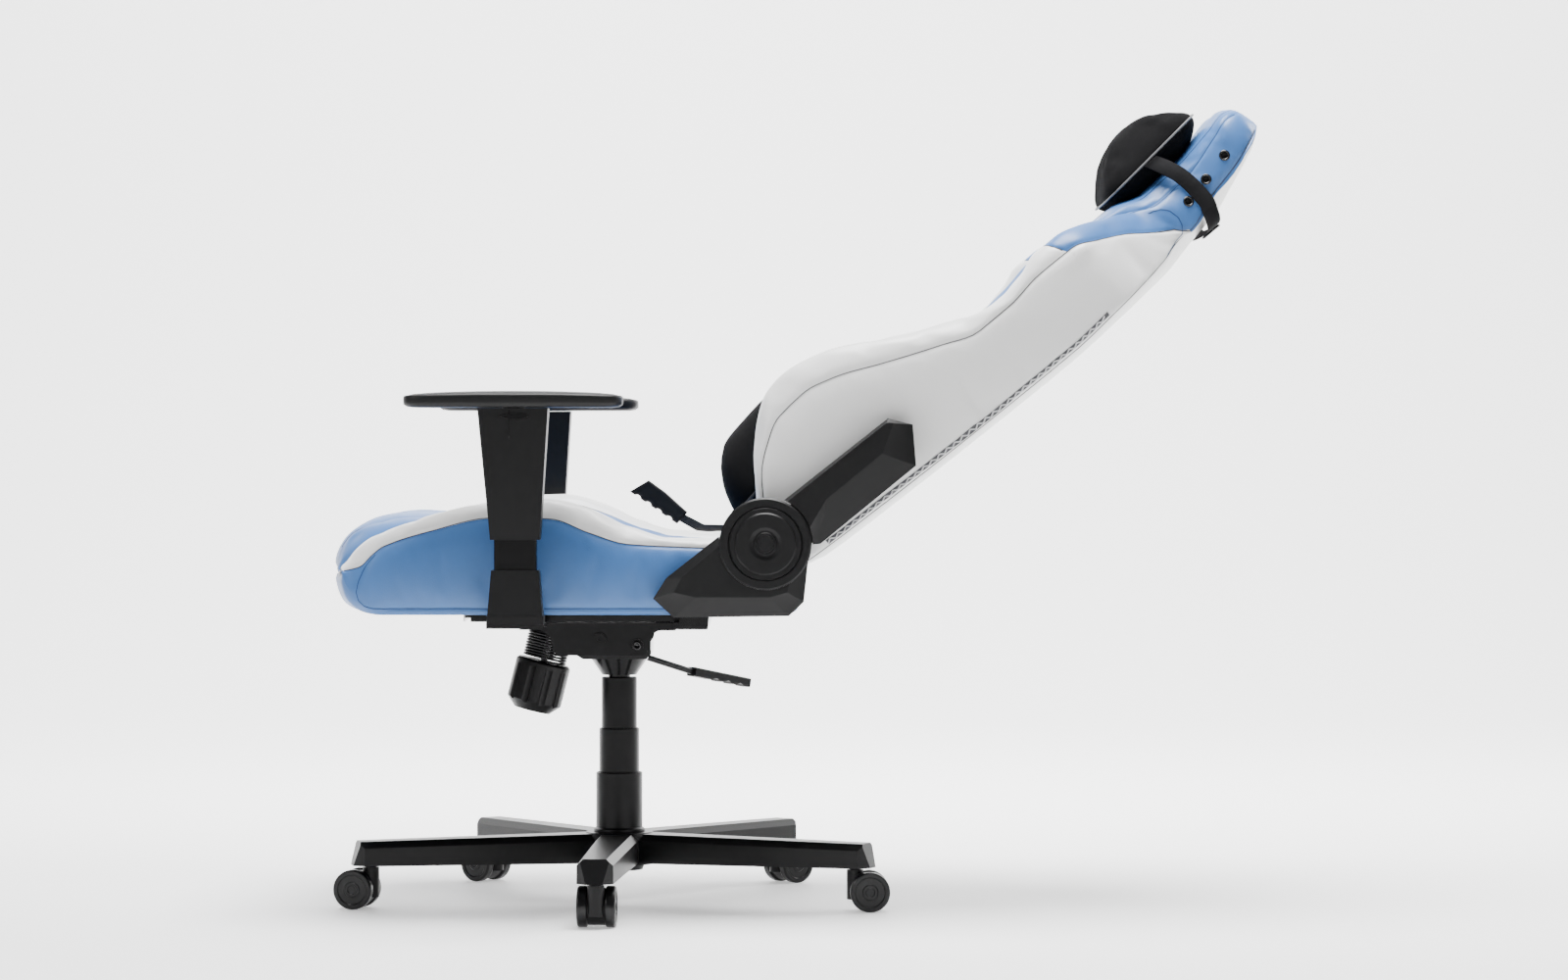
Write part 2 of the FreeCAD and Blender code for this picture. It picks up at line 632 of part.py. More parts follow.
def hinge_cover(has_lever):
    """Moulded cover over the fixed hinge plate: a skirt, a sloping band and a flat faceted face."""
    skirt = side_prism(SEAT_COVER_OUTLINE, COVER_INNER_X, COVER_OUTER_X - 10)
    face = side_loft(SEAT_COVER_OUTLINE, COVER_OUTER_X - 10, SEAT_COVER_FACE, COVER_OUTER_X)
    disc = x_cylinder(CAP_R - 4, 271, COVER_OUTER_X - 3, PIVOT_Y, PIVOT_Z)
    cover = fuse_all([skirt, face, disc])
    hollow = inset_outline(SEAT_COVER_OUTLINE, 3).extrude(Vec(COVER_OUTER_X - 13, 0, 0))
    sweep = x_cylinder(CAP_R + 3, 250, 271, PIVOT_Y, PIVOT_Z)
    cap_seat = x_cylinder(CAP_R + 0.2, COVER_OUTER_X - 3, 300, PIVOT_Y, PIVOT_Z)
    recess = box((COVER_OUTER_X - 4.5, COVER_OUTER_X + 1), (136, 195), (380, 386))
    cover = cover.cut(hollow).cut(sweep).cut(cap_seat).cut(recess)
    if has_lever:
        cover = cover.cut(lever_sweep())
    return cover


def hinge_cap(has_lever):
    """Round cap over the hinge with raised rings and a centre button."""
    base = COVER_OUTER_X - 3
    cap = revolve_z([
        (0, base), (CAP_R, base), (CAP_R, base + 5), (CAP_R - 2, base + 7), (46, base + 7),
        (44.5, base + 5.5), (43, base + 7), (38, base + 7), (36, base + 9), (20, base + 9),
        (16, base + 7.5), (14.5, base + 7.5), (13, base + 9), (11, base + 9), (10, base + 11), (0, base + 11),
    ])
    cap.rotate(ORIGIN, Y_AXIS, 90)
    cap.translate(Vec(0, PIVOT_Y, PIVOT_Z))
    if has_lever:
        cap = cap.cut(lever_sweep())
    return cap


def recline_lever():
    """Flat steel lever: a ring on the hinge axis and a bar forwards into the grip."""
    x_low = COVER_OUTER_X - 3 + BODY_GAP
    x_high = x_low + 3.6
    ring = x_cylinder(28, x_low, x_high, PIVOT_Y, PIVOT_Z)
    outline = [(187, 452), (101, 463), (64, 484), (40, 500), (46, 508), (68, 494), (103, 476), (187, 474)]
    return mirrored(fuse_all([ring, side_prism(outline, x_low, x_high)]))


def recline_lever_grip():
    """Moulded grip with four finger notches along its lower edge, closed round the lever's end."""
    x_low = COVER_OUTER_X - 9
    x_high = COVER_OUTER_X + 7
    grip = side_prism([(4, 520), (29, 535), (51, 519), (81, 492), (67, 477)], x_low, x_high)
    for index in range(4):
        share = 0.17 + 0.22 * index
        grip = grip.cut(x_cylinder(6, x_low - 1, x_high + 1, 4 + 63 * share - 1.9, 520 - 43 * share - 2.7))
    grip = rounded_sides(grip, 2.0)
    return mirrored(grip).cut(recline_lever())


def rounded_sides(shape, size):
    """Bevels the long corners that run round a plate's two faces."""
    edges = [edge for edge in shape.Edges if edge.BoundBox.XLength < 0.01]
    return shape.makeChamfer(size, edges)


# ---------------------------------------------------------------- back
ARM_COVER_OUTLINE = [(47, 26), (212, 21), (230, -4), (201, -45), (51, -43), (40, -35)]
ARM_COVER_FACE = [(52, 22), (207, 18), (213, 12), (179, -7), (91, -6), (47, -22)]


def back_arm_cover():
    """Moulded cover over the back's hinge arm, with a ridge along it, clear of the round cap."""
    outline = back_points(ARM_COVER_OUTLINE)
    face = back_points(ARM_COVER_FACE)
    skirt = side_prism(outline, COVER_INNER_X, COVER_OUTER_X - 9)
    front = side_loft(outline, COVER_OUTER_X - 9, face, COVER_OUTER_X)
    cover = fuse_all([skirt, front])
    hollow = inset_outline(outline, 3).extrude(Vec(COVER_OUTER_X - 12, 0, 0))
    mouth = side_prism(back_points([(20, 20), (120, 16), (120, -38), (20, -38)]), 200, 271)
    clearance = x_cylinder(CAP_R + 1.5, 200, 300, PIVOT_Y, PIVOT_Z)
    return cover.cut(hollow).cut(mouth).cut(clearance)


def rounded_loop(points, radius):
    """A closed wire through corner points, with each corner turned by an arc."""
    starts = []
    arcs = []
    for index, corner in enumerate(points):
        before = (points[index - 1] - corner).normalize()
        after = (points[(index + 1) % len(points)] - corner).normalize()
        half_angle = before.getAngle(after) / 2
        reach = radius / math.tan(half_angle)
        middle = (before + after).normalize()
        centre = corner + middle * (radius / math.sin(half_angle))
        first = corner + before * reach
        last = corner + after * reach
        starts.append((first, last))
        arcs.append(Part.Arc(first, centre - middle * radius, last).toShape())
    edges = []
    for index, (first, last) in enumerate(starts):
        edges.append(arcs[index])
        edges.append(Part.makeLine(last, starts[(index + 1) % len(starts)][0]))
    return Part.Wire(Part.__sortEdges__(edges))


def frame_depth(along):
    """How far in front of the hinge the flat tube frame lies: it leans forwards towards the head."""
    return -35.0 + 27.0 * (along - FRAME_LOW) / (FRAME_HIGH - FRAME_LOW)


def frame_loop(radius):
    """The frame's closed tube as a solid bar of one radius."""
    half = [(FRAME_SIDE_X, FRAME_LOW), (FRAME_SIDE_X, 500), (80, 610), (80, FRAME_HIGH)]
    corners = half + [(-x, along) for x, along in reversed(half)]
    path = rounded_loop([back_vec(x, along, frame_depth(along)) for x, along in corners], 45)
    start = back_vec(FRAME_SIDE_X, 200, frame_depth(200))
    heading = back_vec(FRAME_SIDE_X, 300, frame_depth(300)) - start
    ring = Part.Wire(Part.makeCircle(radius, start, heading))
    return path.makePipeShell([ring], True, False)


def hinge_arm():
    """Steel arm plate on the hinge pin, with two bosses that reach the tube frame."""
    outline = back_points([(-6, 30), (40, 17), (196, 12), (196, -36), (30, -36), (-20, -24)])
    plate = side_prism(outline, ARM_PLATE_X, ARM_PLATE_X + HINGE_PLATE_T)
    eye = x_cylinder(32, ARM_PLATE_X, ARM_PLATE_X + HINGE_PLATE_T, PIVOT_Y, PIVOT_Z)
    bosses = []
    for along in (100, 170):
        y, z = back_point(along, frame_depth(along))
        bosses.append(x_cylinder(7, FRAME_SIDE_X + FRAME_TUBE_R - 1.2, ARM_PLATE_X + 1, y, z))
    arm = fuse_all([plate, eye] + bosses)
    return arm.cut(x_cylinder(PIN_R + RUN_GAP, 200, 300, PIVOT_Y, PIVOT_Z))


def back_frame_outer():
    """Everything of the frame that the foam is moulded round, as if the tube were solid."""
    y, z = back_point(330, frame_depth(330))
    inner_x = FRAME_SIDE_X - FRAME_TUBE_R + 1
    cross = x_cylinder(8, -inner_x, inner_x, y, z)
    return fuse_all([frame_loop(FRAME_TUBE_R), cross, hinge_arm(), mirrored(hinge_arm())])


def back_frame():
    return back_frame_outer().cut(frame_loop(FRAME_TUBE_R - FRAME_TUBE_WALL))


def back_side_outline():
    """Side view of the back: rear line, head, then the deep side bolsters down to the hinge."""
    rear = back_points([(15, -59), (192, -69), (440, -75), (602, -68), (736, -38), (794, -11)])
    head = back_points([(794, -11), (808, 6), (795, 37), (766, 44)])
    front = back_points([
        (766, 44), (690, 20), (640, 18), (587, 34), (500, 61), (410, 45), (335, 67), (203, 133), (130, 143),
        (62, 95), (4, 14),
    ])
    return [rear, head, front]


def back_front_outline():
    """Half width of the back at places along it, for the left side."""
    wide = BACK_HALF_WIDTH
    return [
        (0, wide - 21), (30, wide - 7), (80, wide - 1), (150, wide), (230, wide), (320, wide),
        (430, wide + 2), (520, wide - 9), (580, 200), (640, 150), (700, 138), (770, 134), (802, 96), (815, 0),
    ]


def back_cushion():
    """Foam body with deep side bolsters, shoulders and a head part, moulded round the tube frame."""
    body = smooth_prism(back_side_outline(), -270, 270)
    half = back_front_outline()
    outline = [back_vec(x, along, -120) for along, x in half]
    outline += [back_vec(-x, along, -120) for along, x in reversed(half[:-1])]
    angle = math.radians(BACK_ANGLE_DEG)
    forwards = Vec(0, -math.sin(angle), math.cos(angle))
    spline_left = Part.BSplineCurve()
    spline_left.interpolate(outline[:len(half)])
    spline_right = Part.BSplineCurve()
    spline_right.interpolate(outline[len(half) - 1:])
    closing = Part.makeLine(outline[-1], outline[0])
    plan = Part.Face(Part.Wire([spline_left.toShape(), spline_right.toShape(), closing]))
    body = body.common(plan.extrude(forwards * 400))
    centre = back_points([(-20, 50), (80, 52), (170, 58), (300, 46), (450, 34), (560, 38), (640, 24)])
    well_front = back_points([(640, 200), (-20, 200)])
    well = smooth_prism([centre, well_front], -BACK_WELL_HALF, BACK_WELL_HALF)
    return body.cut(well)


def pillow(front_curve, rear_curve, half_width, corner):
    """A lens-shaped pillow whose ends are rounded in plan."""
    body = smooth_prism([back_points(front_curve), back_points(rear_curve)], -half_width, half_width)
    return rounded_ends(body, half_width, corner)


def rounded_ends(body, half_width, corner):
    """Takes the corners off a pillow as seen square to the back."""
    hinge = Vec(0, PIVOT_Y, PIVOT_Z)
    level = body.copy()
    level.rotate(hinge, X_AXIS, -BACK_ANGLE_DEG)
    limits = level.BoundBox
    plan = box((-half_width, half_width), (limits.YMin, limits.YMax), (limits.ZMin - 5, limits.ZMax + 5))
    plan = rounded(plan, corner, lambda edge: runs_along(edge, Z_AXIS))
    level = level.common(plan)
    level.rotate(hinge, X_AXIS, BACK_ANGLE_DEG)
    return level


def lumbar_pillow():
    front = [(118, 62), (124, 100), (110, 139), (79, 137), (45, 125), (15, 109), (-10, 78), (-8, 54)]
    rear = [(-8, 54), (55, 53.5), (118, 62)]
    return pillow(front, rear, 148, 30)


def head_pillow():
    front = [(592, 48), (604, 72), (635, 95), (687, 103), (735, 88), (766, 62)]
    rear = [(766, 62), (711, 36), (630, 28), (592, 48)]
    return pillow(front, rear, 118, 26)


def head_strap():
    """Elastic strap from the sides of the head pillow round the back of the head part."""
    half_x = 141.0
    thickness = 1.6
    rear = -64.0
    front = 48.0
    width = 23.0
    outer = box((-half_x - thickness, half_x + thickness), (rear - thickness, front), (0, width))
    outer = rounded(outer, 16, lambda edge: runs_along(edge, Z_AXIS) and edge.Vertexes[0].Y < 0)
    inner = box((-half_x, half_x), (rear, front + 1), (-1, width + 1))
    inner = rounded(inner, 16 - thickness, lambda edge: runs_along(edge, Z_AXIS) and edge.Vertexes[0].Y < 0)
    loop = outer.cut(inner)
    loop.rotate(ORIGIN, X_AXIS, -STRAP_LEAN_DEG)
    loop.rotate(ORIGIN, Z_AXIS, 180)
    loop.rotate(ORIGIN, X_AXIS, BACK_ANGLE_DEG - 90)
    loop.translate(back_vec(0, STRAP_ALONG, 0))
    return loop


# ---------------------------------------------------------------- armrests
def arm_bracket():
    """Flat bar under the seat and a hollow post with latch holes."""
    bar = box((100, ARM_X + 19), (ARM_Y - 34.6, ARM_Y + 34.6), (PAN_BOTTOM_Z - 5, PAN_BOTTOM_Z))
    outer = rounded_bar(POST_X / 2, POST_Y / 2, PAN_BOTTOM_Z, POST_TOP_Z)
    inset_x = POST_X / 2 - POST_WALL
    inset_y = POST_Y / 2 - POST_WALL
    y_range = (ARM_Y - inset_y, ARM_Y + inset_y)
    post = outer.cut(box((ARM_X - inset_x, ARM_X + inset_x), y_range, (PAN_BOTTOM_Z, POST_TOP_Z + 1)))
    for index in range(7):
        post = post.cut(x_cylinder(4, ARM_X, ARM_X + 30, ARM_Y, 480 + 13 * index))
    return bar, post


def rounded_bar(half_x, half_y, z_low, z_high):
    """An upright bar on the armrest's axis with rounded corners."""
    bar = box((ARM_X - half_x, ARM_X + half_x), (ARM_Y - half_y, ARM_Y + half_y), (z_low, z_high))
    return rounded(bar, 5, lambda edge: runs_along(edge, Z_AXIS))


def post_hole(z_low, z_high, gap):
    return rounded_bar(POST_X / 2 + gap, POST_Y / 2 + gap, z_low, z_high)


def arm_foot():
    """Tapered cover with a collar that stands on the bar round the post's lower end."""
    z_low = PAN_BOTTOM_Z
    collar = slab_loft(19, 34.6, z_low, 19, 34.6, z_low + 10, ARM_Y, ARM_Y)
    shell = collar.fuse(slab_loft(18.3, 33.4, z_low + 10, 17, 28.8, FOOT_TOP_Z, ARM_Y, ARM_Y))
    hollow = slab_loft(16, 31, z_low, 14.5, 26.6, FOOT_TOP_Z - 4, ARM_Y, ARM_Y)
    return shell.cut(hollow).cut(post_hole(z_low, FOOT_TOP_Z + 1, 0.0))


def button_outline(half_length, half_height, x_low, x_high, z):
    """A lens-shaped bar seen along X."""
    rear = Vec(x_low, ARM_Y + half_length, z)
    front = Vec(x_low, ARM_Y - half_length, z)
    upper = Part.Arc(front, Vec(x_low, ARM_Y, z + half_height), rear).toShape()
    lower = Part.Arc(rear, Vec(x_low, ARM_Y, z - half_height), front).toShape()
    return Part.Face(Part.Wire([upper, lower])).extrude(Vec(x_high - x_low, 0, 0))



def arm_sleeve():
    """Flared sleeve that slides on the post and carries the pad."""
    sleeve = slab_loft(17, 30, SLEEVE_BOTTOM_Z, 23, 42.5, SLEEVE_TOP_Z, ARM_Y, ARM_Y - 2.5)
    sleeve = sleeve.cut(post_hole(SLEEVE_BOTTOM_Z - 1, SLEEVE_TOP_Z - 5, BODY_GAP))
    sleeve = sleeve.cut(button_outline(18.6, 3.5, ARM_X + 12.5, ARM_X + 40, BUTTON_Z))
    return sleeve.cut(z_cylinder(8 + RUN_GAP, SLEEVE_TOP_Z - 20, SLEEVE_TOP_Z + 1, ARM_X, PAD_Y))


def arm_button():
    """Lens-shaped button in the sleeve's outer face that frees the height latch."""
    return button_outline(18.2, 3.1, ARM_X + 16, ARM_X + 24, BUTTON_Z)


def arm_turntable():
    """Spigot in the sleeve with a neck and a disc that the pad slides on."""
    bottom = SLEEVE_TOP_Z + BODY_GAP
    spigot = z_cylinder(8, SLEEVE_TOP_Z - 14, bottom + 1, ARM_X, PAD_Y)
    neck = z_cylinder(TURNTABLE_NECK_R, bottom, bottom + 3, ARM_X, PAD_Y)
    disc = z_cylinder(TURNTABLE_R, bottom + 3, bottom + 6, ARM_X, PAD_Y)
    return fuse_all([spigot, neck, disc])


def arm_pad():
    """Pad with a crowned top, turned-up ends and a T-slot below for the turntable's disc."""
    bottom = SLEEVE_TOP_Z + 2 * BODY_GAP
    low = PAD_Y - PAD_LENGTH / 2
    high = PAD_Y + PAD_LENGTH / 2
    crown = [(low, 642), (low + 55, 646), (PAD_Y, PAD_TOP_Z), (high - 55, 646), (high, 642)]
    body = smooth_prism([crown, [(high, 632.5), (high - 10, bottom)], [(low + 10, bottom), (low, 632.5)]],
                        ARM_X - PAD_WIDTH / 2, ARM_X + PAD_WIDTH / 2)
    plan = box((ARM_X - PAD_WIDTH / 2, ARM_X + PAD_WIDTH / 2), (low, high), (600, 660))
    plan = rounded(plan, 32, lambda edge: runs_along(edge, Z_AXIS))
    body = body.common(plan)
    neck = TURNTABLE_NECK_R + BODY_GAP
    disc = TURNTABLE_R + BODY_GAP
    disc_low = SLEEVE_TOP_Z + 3
    body = body.cut(box((ARM_X - neck, ARM_X + neck), (PAD_Y - neck - PAD_SLIDE, PAD_Y + neck + PAD_SLIDE),
                        (600, disc_low + 1)))
    return body.cut(box((ARM_X - disc, ARM_X + disc), (PAD_Y - disc - PAD_SLIDE, PAD_Y + disc + PAD_SLIDE),
                        (disc_low, disc_low + 3 + 2 * BODY_GAP)))


# ---------------------------------------------------------------- export
def main():
    os.makedirs("parts", exist_ok=True)
    save("star_base", star_base())
    save("column_tube", column_tube())
    save("cover_lower", column_cover(COVER_LOWER_R, HUB_TOP_Z, COVER_LOWER_TOP_Z, foot=3.0))
    save("cover_middle", column_cover(COVER_MIDDLE_R, COVER_LOWER_TOP_Z - COVER_LAP, COVER_MIDDLE_TOP_Z))
    upper_low = COVER_MIDDLE_TOP_Z - COVER_LAP
    save("cover_upper", column_cover(COVER_UPPER_R, upper_low, COVER_UPPER_TOP_Z, lid_hole=GAS_R))
    save("piston_rod", piston_rod())
    save("gas_cylinder", gas_cylinder())
    for index in range(ARM_COUNT):
        name = "caster_%d_" % (index + 1)
        save(name + "frame", placed_caster(caster_frame(), index))
        save(name + "wheel_a", placed_caster(caster_wheel(-1), index))
        save(name + "wheel_b", placed_caster(caster_wheel(1), index))
    save("tilt_housing", tilt_housing())
    save("tilt_pivot_pin", tilt_pivot_pin())
    save("tension_bolt", tension_bolt())
    save("tension_spring", tension_spring())
    save("tension_knob", tension_knob())
    save("lock_slider", lock_slider())
    save("height_lever", height_lever())
    save("height_lever_grip", height_lever_grip())
    save("seat_plate", seat_plate())
    save("seat_pan", seat_pan())
    save("seat_cushion", seat_cushion())
    save("recline_bracket", *recline_bracket())
    save("hinge_pins", hinge_pin(), mirrored(hinge_pin()))
    save("hinge_cover_left", hinge_cover(False))
    save("hinge_cover_right", mirrored(hinge_cover(True)))
    save("hinge_cap_left", hinge_cap(False))
    save("hinge_cap_right", mirrored(hinge_cap(True)))
    save("recline_lever", recline_lever())
    save("recline_lever_grip", recline_lever_grip())
    save("back_frame", back_frame())
    cushion = back_cushion().cut(back_frame_outer())
    save("back_cushion", cushion)
    save("back_arm_cover_left", back_arm_cover())
    save("back_arm_cover_right", mirrored(back_arm_cover()))
    save("lumbar_pillow", lumbar_pillow().cut(cushion))
    head = head_pillow().cut(cushion)
    save("head_pillow", head)
    save("head_strap", head_strap().cut(cushion).cut(head))
    for side, place in (("left", lambda shape: shape), ("right", mirrored)):
        save("arm_bracket_" + side, *[place(piece) for piece in arm_bracket()])
        save("arm_foot_" + side, place(arm_foot()))
        save("arm_sleeve_" + side, place(arm_sleeve()))
        save("arm_button_" + side, place(arm_button()))
        save("arm_turntable_" + side, place(arm_turntable()))
        save("arm_pad_" + side, place(arm_pad()))


main()
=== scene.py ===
"""Looks of the gaming chair: upholstery, pillows, trims, materials, light and camera.

Row frame, metres: +Z up, the chair faces -Y, +X is the sitter's left. Shapes are written in millimetres.
"Along" is the distance from the recline hinge up the back, "front" the distance before the hinge's plane.
"""
import bisect
import json
import math

import bmesh
import bpy
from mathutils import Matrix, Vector
from mathutils.bvhtree import BVHTree
from mathutils.kdtree import KDTree


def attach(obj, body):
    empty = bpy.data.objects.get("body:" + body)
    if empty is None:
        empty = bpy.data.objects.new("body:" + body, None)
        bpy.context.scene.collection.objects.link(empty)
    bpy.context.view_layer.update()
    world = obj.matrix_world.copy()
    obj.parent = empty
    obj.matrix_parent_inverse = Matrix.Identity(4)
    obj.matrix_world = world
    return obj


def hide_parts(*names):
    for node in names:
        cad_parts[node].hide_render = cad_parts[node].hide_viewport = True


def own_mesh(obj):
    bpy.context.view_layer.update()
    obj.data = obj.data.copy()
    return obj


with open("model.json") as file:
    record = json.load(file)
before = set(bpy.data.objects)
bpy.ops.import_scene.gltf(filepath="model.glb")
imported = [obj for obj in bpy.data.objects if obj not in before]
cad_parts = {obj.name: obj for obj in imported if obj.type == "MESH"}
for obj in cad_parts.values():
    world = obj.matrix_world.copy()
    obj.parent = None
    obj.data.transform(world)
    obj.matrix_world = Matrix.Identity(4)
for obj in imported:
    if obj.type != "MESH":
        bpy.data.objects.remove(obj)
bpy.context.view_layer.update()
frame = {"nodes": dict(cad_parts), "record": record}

MM = 0.001
HINGE_Y = 187.4
HINGE_Z = 462.8
BACK_ANGLE = math.radians(40)


# ---------------------------------------------------------------- small maths
def smooth_line(points):
    """A smooth function through given (x, y) points, without overshoot between them."""
    xs = [p[0] for p in points]
    ys = [p[1] for p in points]
    steps = [(ys[i + 1] - ys[i]) / (xs[i + 1] - xs[i]) for i in range(len(xs) - 1)]
    slopes = [steps[0]]
    for before, after in zip(steps, steps[1:]):
        slopes.append(0.0 if before * after <= 0 else 2 * before * after / (before + after))
    slopes.append(steps[-1])

    def value(x):
        x = min(max(x, xs[0]), xs[-1])
        i = min(max(bisect.bisect_right(xs, x) - 1, 0), len(xs) - 2)
        width = xs[i + 1] - xs[i]
        u = (x - xs[i]) / width
        a = (1 + 2 * u) * (1 - u) ** 2 * ys[i]
        b = u * (1 - u) ** 2 * width * slopes[i]
        c = u * u * (3 - 2 * u) * ys[i + 1]
        d = u * u * (u - 1) * width * slopes[i + 1]
        return a + b + c + d

    return value


def fade(x, low, high):
    """0 below low, 1 above high, smooth between."""
    u = min(max((x - low) / (high - low), 0.0), 1.0)
    return u * u * (3 - 2 * u)


def back_place(x, along, front):
    y = HINGE_Y + along * math.cos(BACK_ANGLE) - front * math.sin(BACK_ANGLE)
    z = HINGE_Z + along * math.sin(BACK_ANGLE) + front * math.cos(BACK_ANGLE)
    return Vector((x, y, z)) * MM


def seat_place(x, y, z):
    return Vector((x, y, z)) * MM


# ---------------------------------------------------------------- materials
def principled(name, colour, roughness, metallic=0.0, coat=0.0, sheen=0.0, specular=0.5):
    material = bpy.data.materials.new(name)
    material.use_nodes = True
    shader = material.node_tree.nodes["Principled BSDF"]
    shader.inputs["Base Color"].default_value = (*colour, 1.0)
    shader.inputs["Roughness"].default_value = roughness
    shader.inputs["Metallic"].default_value = metallic
    shader.inputs["Specular IOR Level"].default_value = specular
    shader.inputs["Coat Weight"].default_value = coat
    shader.inputs["Coat Roughness"].default_value = 0.25
    shader.inputs["Sheen Weight"].default_value = sheen
    material.diffuse_color = (*colour, 1.0)
    return material


def add_bump(material, texture, output, strength, distance):
    nodes = material.node_tree.nodes
    bump = nodes.new("ShaderNodeBump")
    bump.inputs["Strength"].default_value = strength
    bump.inputs["Distance"].default_value = distance
    material.node_tree.links.new(texture.outputs[output], bump.inputs["Height"])
    material.node_tree.links.new(bump.outputs["Normal"], nodes["Principled BSDF"].inputs["Normal"])
    return bump


def object_texture(material, kind, scale, stretch=(1.0, 1.0, 1.0)):
    nodes = material.node_tree.nodes
    links = material.node_tree.links
    place = nodes.new("ShaderNodeTexCoord")
    mapping = nodes.new("ShaderNodeMapping")
    mapping.inputs["Scale"].default_value = stretch
    texture = nodes.new(kind)
    texture.inputs["Scale"].default_value = scale
    links.new(place.outputs["Object"], mapping.inputs["Vector"])
    links.new(mapping.outputs["Vector"], texture.inputs["Vector"])
    return texture


def leather(name, colour, roughness=0.42, specular=0.5):
    """Coated fabric with a fine pebble grain."""
    material = principled(name, colour, roughness, coat=0.2 * specular, specular=specular)
    grain = object_texture(material, "ShaderNodeTexVoronoi", 900.0)
    grain.feature = "SMOOTH_F1"
    add_bump(material, grain, "Distance", 0.25, 0.0004)
    return material


def moulded(name, colour, roughness):
    """Plastic with a spark-eroded texture."""
    material = principled(name, colour, roughness, specular=0.22)
    grain = object_texture(material, "ShaderNodeTexNoise", 1400.0)
    add_bump(material, grain, "Fac", 0.18, 0.0003)
    return material


def woven(name, colour):
    """Dense mesh fabric: two crossed sets of fine ridges."""
    material = principled(name, colour, 0.9, specular=0.06)
    nodes = material.node_tree.nodes
    warp = object_texture(material, "ShaderNodeTexWave", 420.0)
    weft = object_texture(material, "ShaderNodeTexWave", 420.0)
    weft.bands_direction = "Z"
    both = nodes.new("ShaderNodeMath")
    both.operation = "MULTIPLY"
    material.node_tree.links.new(warp.outputs["Fac"], both.inputs[0])
    material.node_tree.links.new(weft.outputs["Fac"], both.inputs[1])
    add_bump(material, both, "Value", 0.5, 0.0006)
    return material


def brushed(name, colour, roughness, stretch):
    material = principled(name, colour, roughness, metallic=0.6, specular=0.3)
    lines = object_texture(material, "ShaderNodeTexNoise", 60.0, stretch)
    add_bump(material, lines, "Fac", 0.15, 0.0005)
    return material


BLUE = leather("blue_leatherette", (0.05, 0.145, 0.37), 0.42, 0.4)
WHITE = leather("white_leatherette", (0.74, 0.74, 0.735), 0.38)
DUST_COVER = woven("dust_cover", (0.008, 0.008, 0.009))
FABRIC = woven("black_pillow_fabric", (0.0045, 0.0045, 0.005))
# The head pillow's piping is black; its grey colour here is a painted highlight along the seam.
PIPING_PAINTED_HIGHLIGHT = principled("piping_painted_highlight", (0.12, 0.12, 0.125), 0.5)
BLACK_PIPING = principled("black_piping", (0.008, 0.008, 0.009), 0.55)
WEBBING = woven("elastic_webbing", (0.013, 0.013, 0.014))
NYLON = moulded("black_nylon", (0.005, 0.005, 0.0055), 0.36)
PLASTIC = moulded("black_plastic", (0.006, 0.006, 0.0065), 0.40)
GLOSS = principled("black_painted_steel", (0.003, 0.003, 0.0035), 0.14, coat=0.3, specular=0.35)
SATIN_STEEL = brushed("brushed_black_steel", (0.012, 0.012, 0.0125), 0.36, (1.0, 1.0, 14.0))
BRIGHT = principled("bright_steel", (0.55, 0.55, 0.56), 0.3, metallic=1.0)
SPRING = principled("spring_steel", (0.015, 0.015, 0.016), 0.3, metallic=0.6)
TREAD = principled("caster_tread", (0.005, 0.005, 0.0055), 0.28, specular=0.3)
PAD = leather("soft_pad", (0.007, 0.007, 0.0075), 0.45, 0.22)
COLUMN = brushed("column_cover", (0.010, 0.010, 0.0105), 0.34, (1.0, 1.0, 30.0))
ZIP_TAPE = woven("zip_tape", (0.10, 0.10, 0.105))
ZIP_TEETH = principled("zip_teeth", (0.5, 0.5, 0.51), 0.4)
DARK_THREAD = principled("dark_thread", (0.045, 0.045, 0.05), 0.75)
BLUE_THREAD = principled("blue_thread", (0.018, 0.055, 0.15), 0.75)
EYELET = principled("black_eyelet", (0.006, 0.006, 0.0065), 0.25, coat=0.3)
HOLE = principled("hole_shade", (0.002, 0.002, 0.002), 0.9, specular=0.1)

SLOT_LOOKS = {
    "black_nylon": NYLON, "black_plastic": PLASTIC, "black_painted_steel": GLOSS, "bright_steel": BRIGHT,
    "spring_steel": SPRING, "caster_tread": TREAD, "soft_pad": PAD, "blue_leatherette": BLUE,
    "black_fabric": FABRIC, "elastic_webbing": WEBBING,
}
NODE_LOOKS = {
    "seat_plate": SATIN_STEEL, "tilt_pivot_pin": SATIN_STEEL,
    "cover_lower": COLUMN, "cover_middle": COLUMN, "cover_upper": COLUMN,
}


def paint_cad_nodes():
    slots = {part["node"]: part["material_slot"] for part in frame["record"]["subparts"]}
    for name, node in frame["nodes"].items():
        node.data.materials.clear()
        node.data.materials.append(NODE_LOOKS.get(name) or SLOT_LOOKS[slots[name]])


# ---------------------------------------------------------------- mesh building
def mesh_object(name, verts, faces, materials, painted=None):
    mesh = bpy.data.meshes.new(name)
    mesh.from_pydata([tuple(v) for v in verts], [], faces)
    for material in materials:
        mesh.materials.append(material)
    if painted:
        mesh.polygons.foreach_set("material_index", painted)
    mesh.polygons.foreach_set("use_smooth", [True] * len(mesh.polygons))
    mesh.update()
    made = bpy.data.objects.new(name, mesh)
    bpy.context.scene.collection.objects.link(made)
    return made


def outward(made):
    """Turns all faces of a closed piece outwards."""
    shape = bmesh.new()
    shape.from_mesh(made.data)
    bmesh.ops.recalc_face_normals(shape, faces=shape.faces)
    shape.to_mesh(made.data)
    shape.free()


def bezier(start, middle, end, u):
    a = (1 - u) ** 2
    b = 2 * u * (1 - u)
    c = u * u
    return (a * start[0] + b * middle[0] + c * end[0], a * start[1] + b * middle[1] + c * end[1])


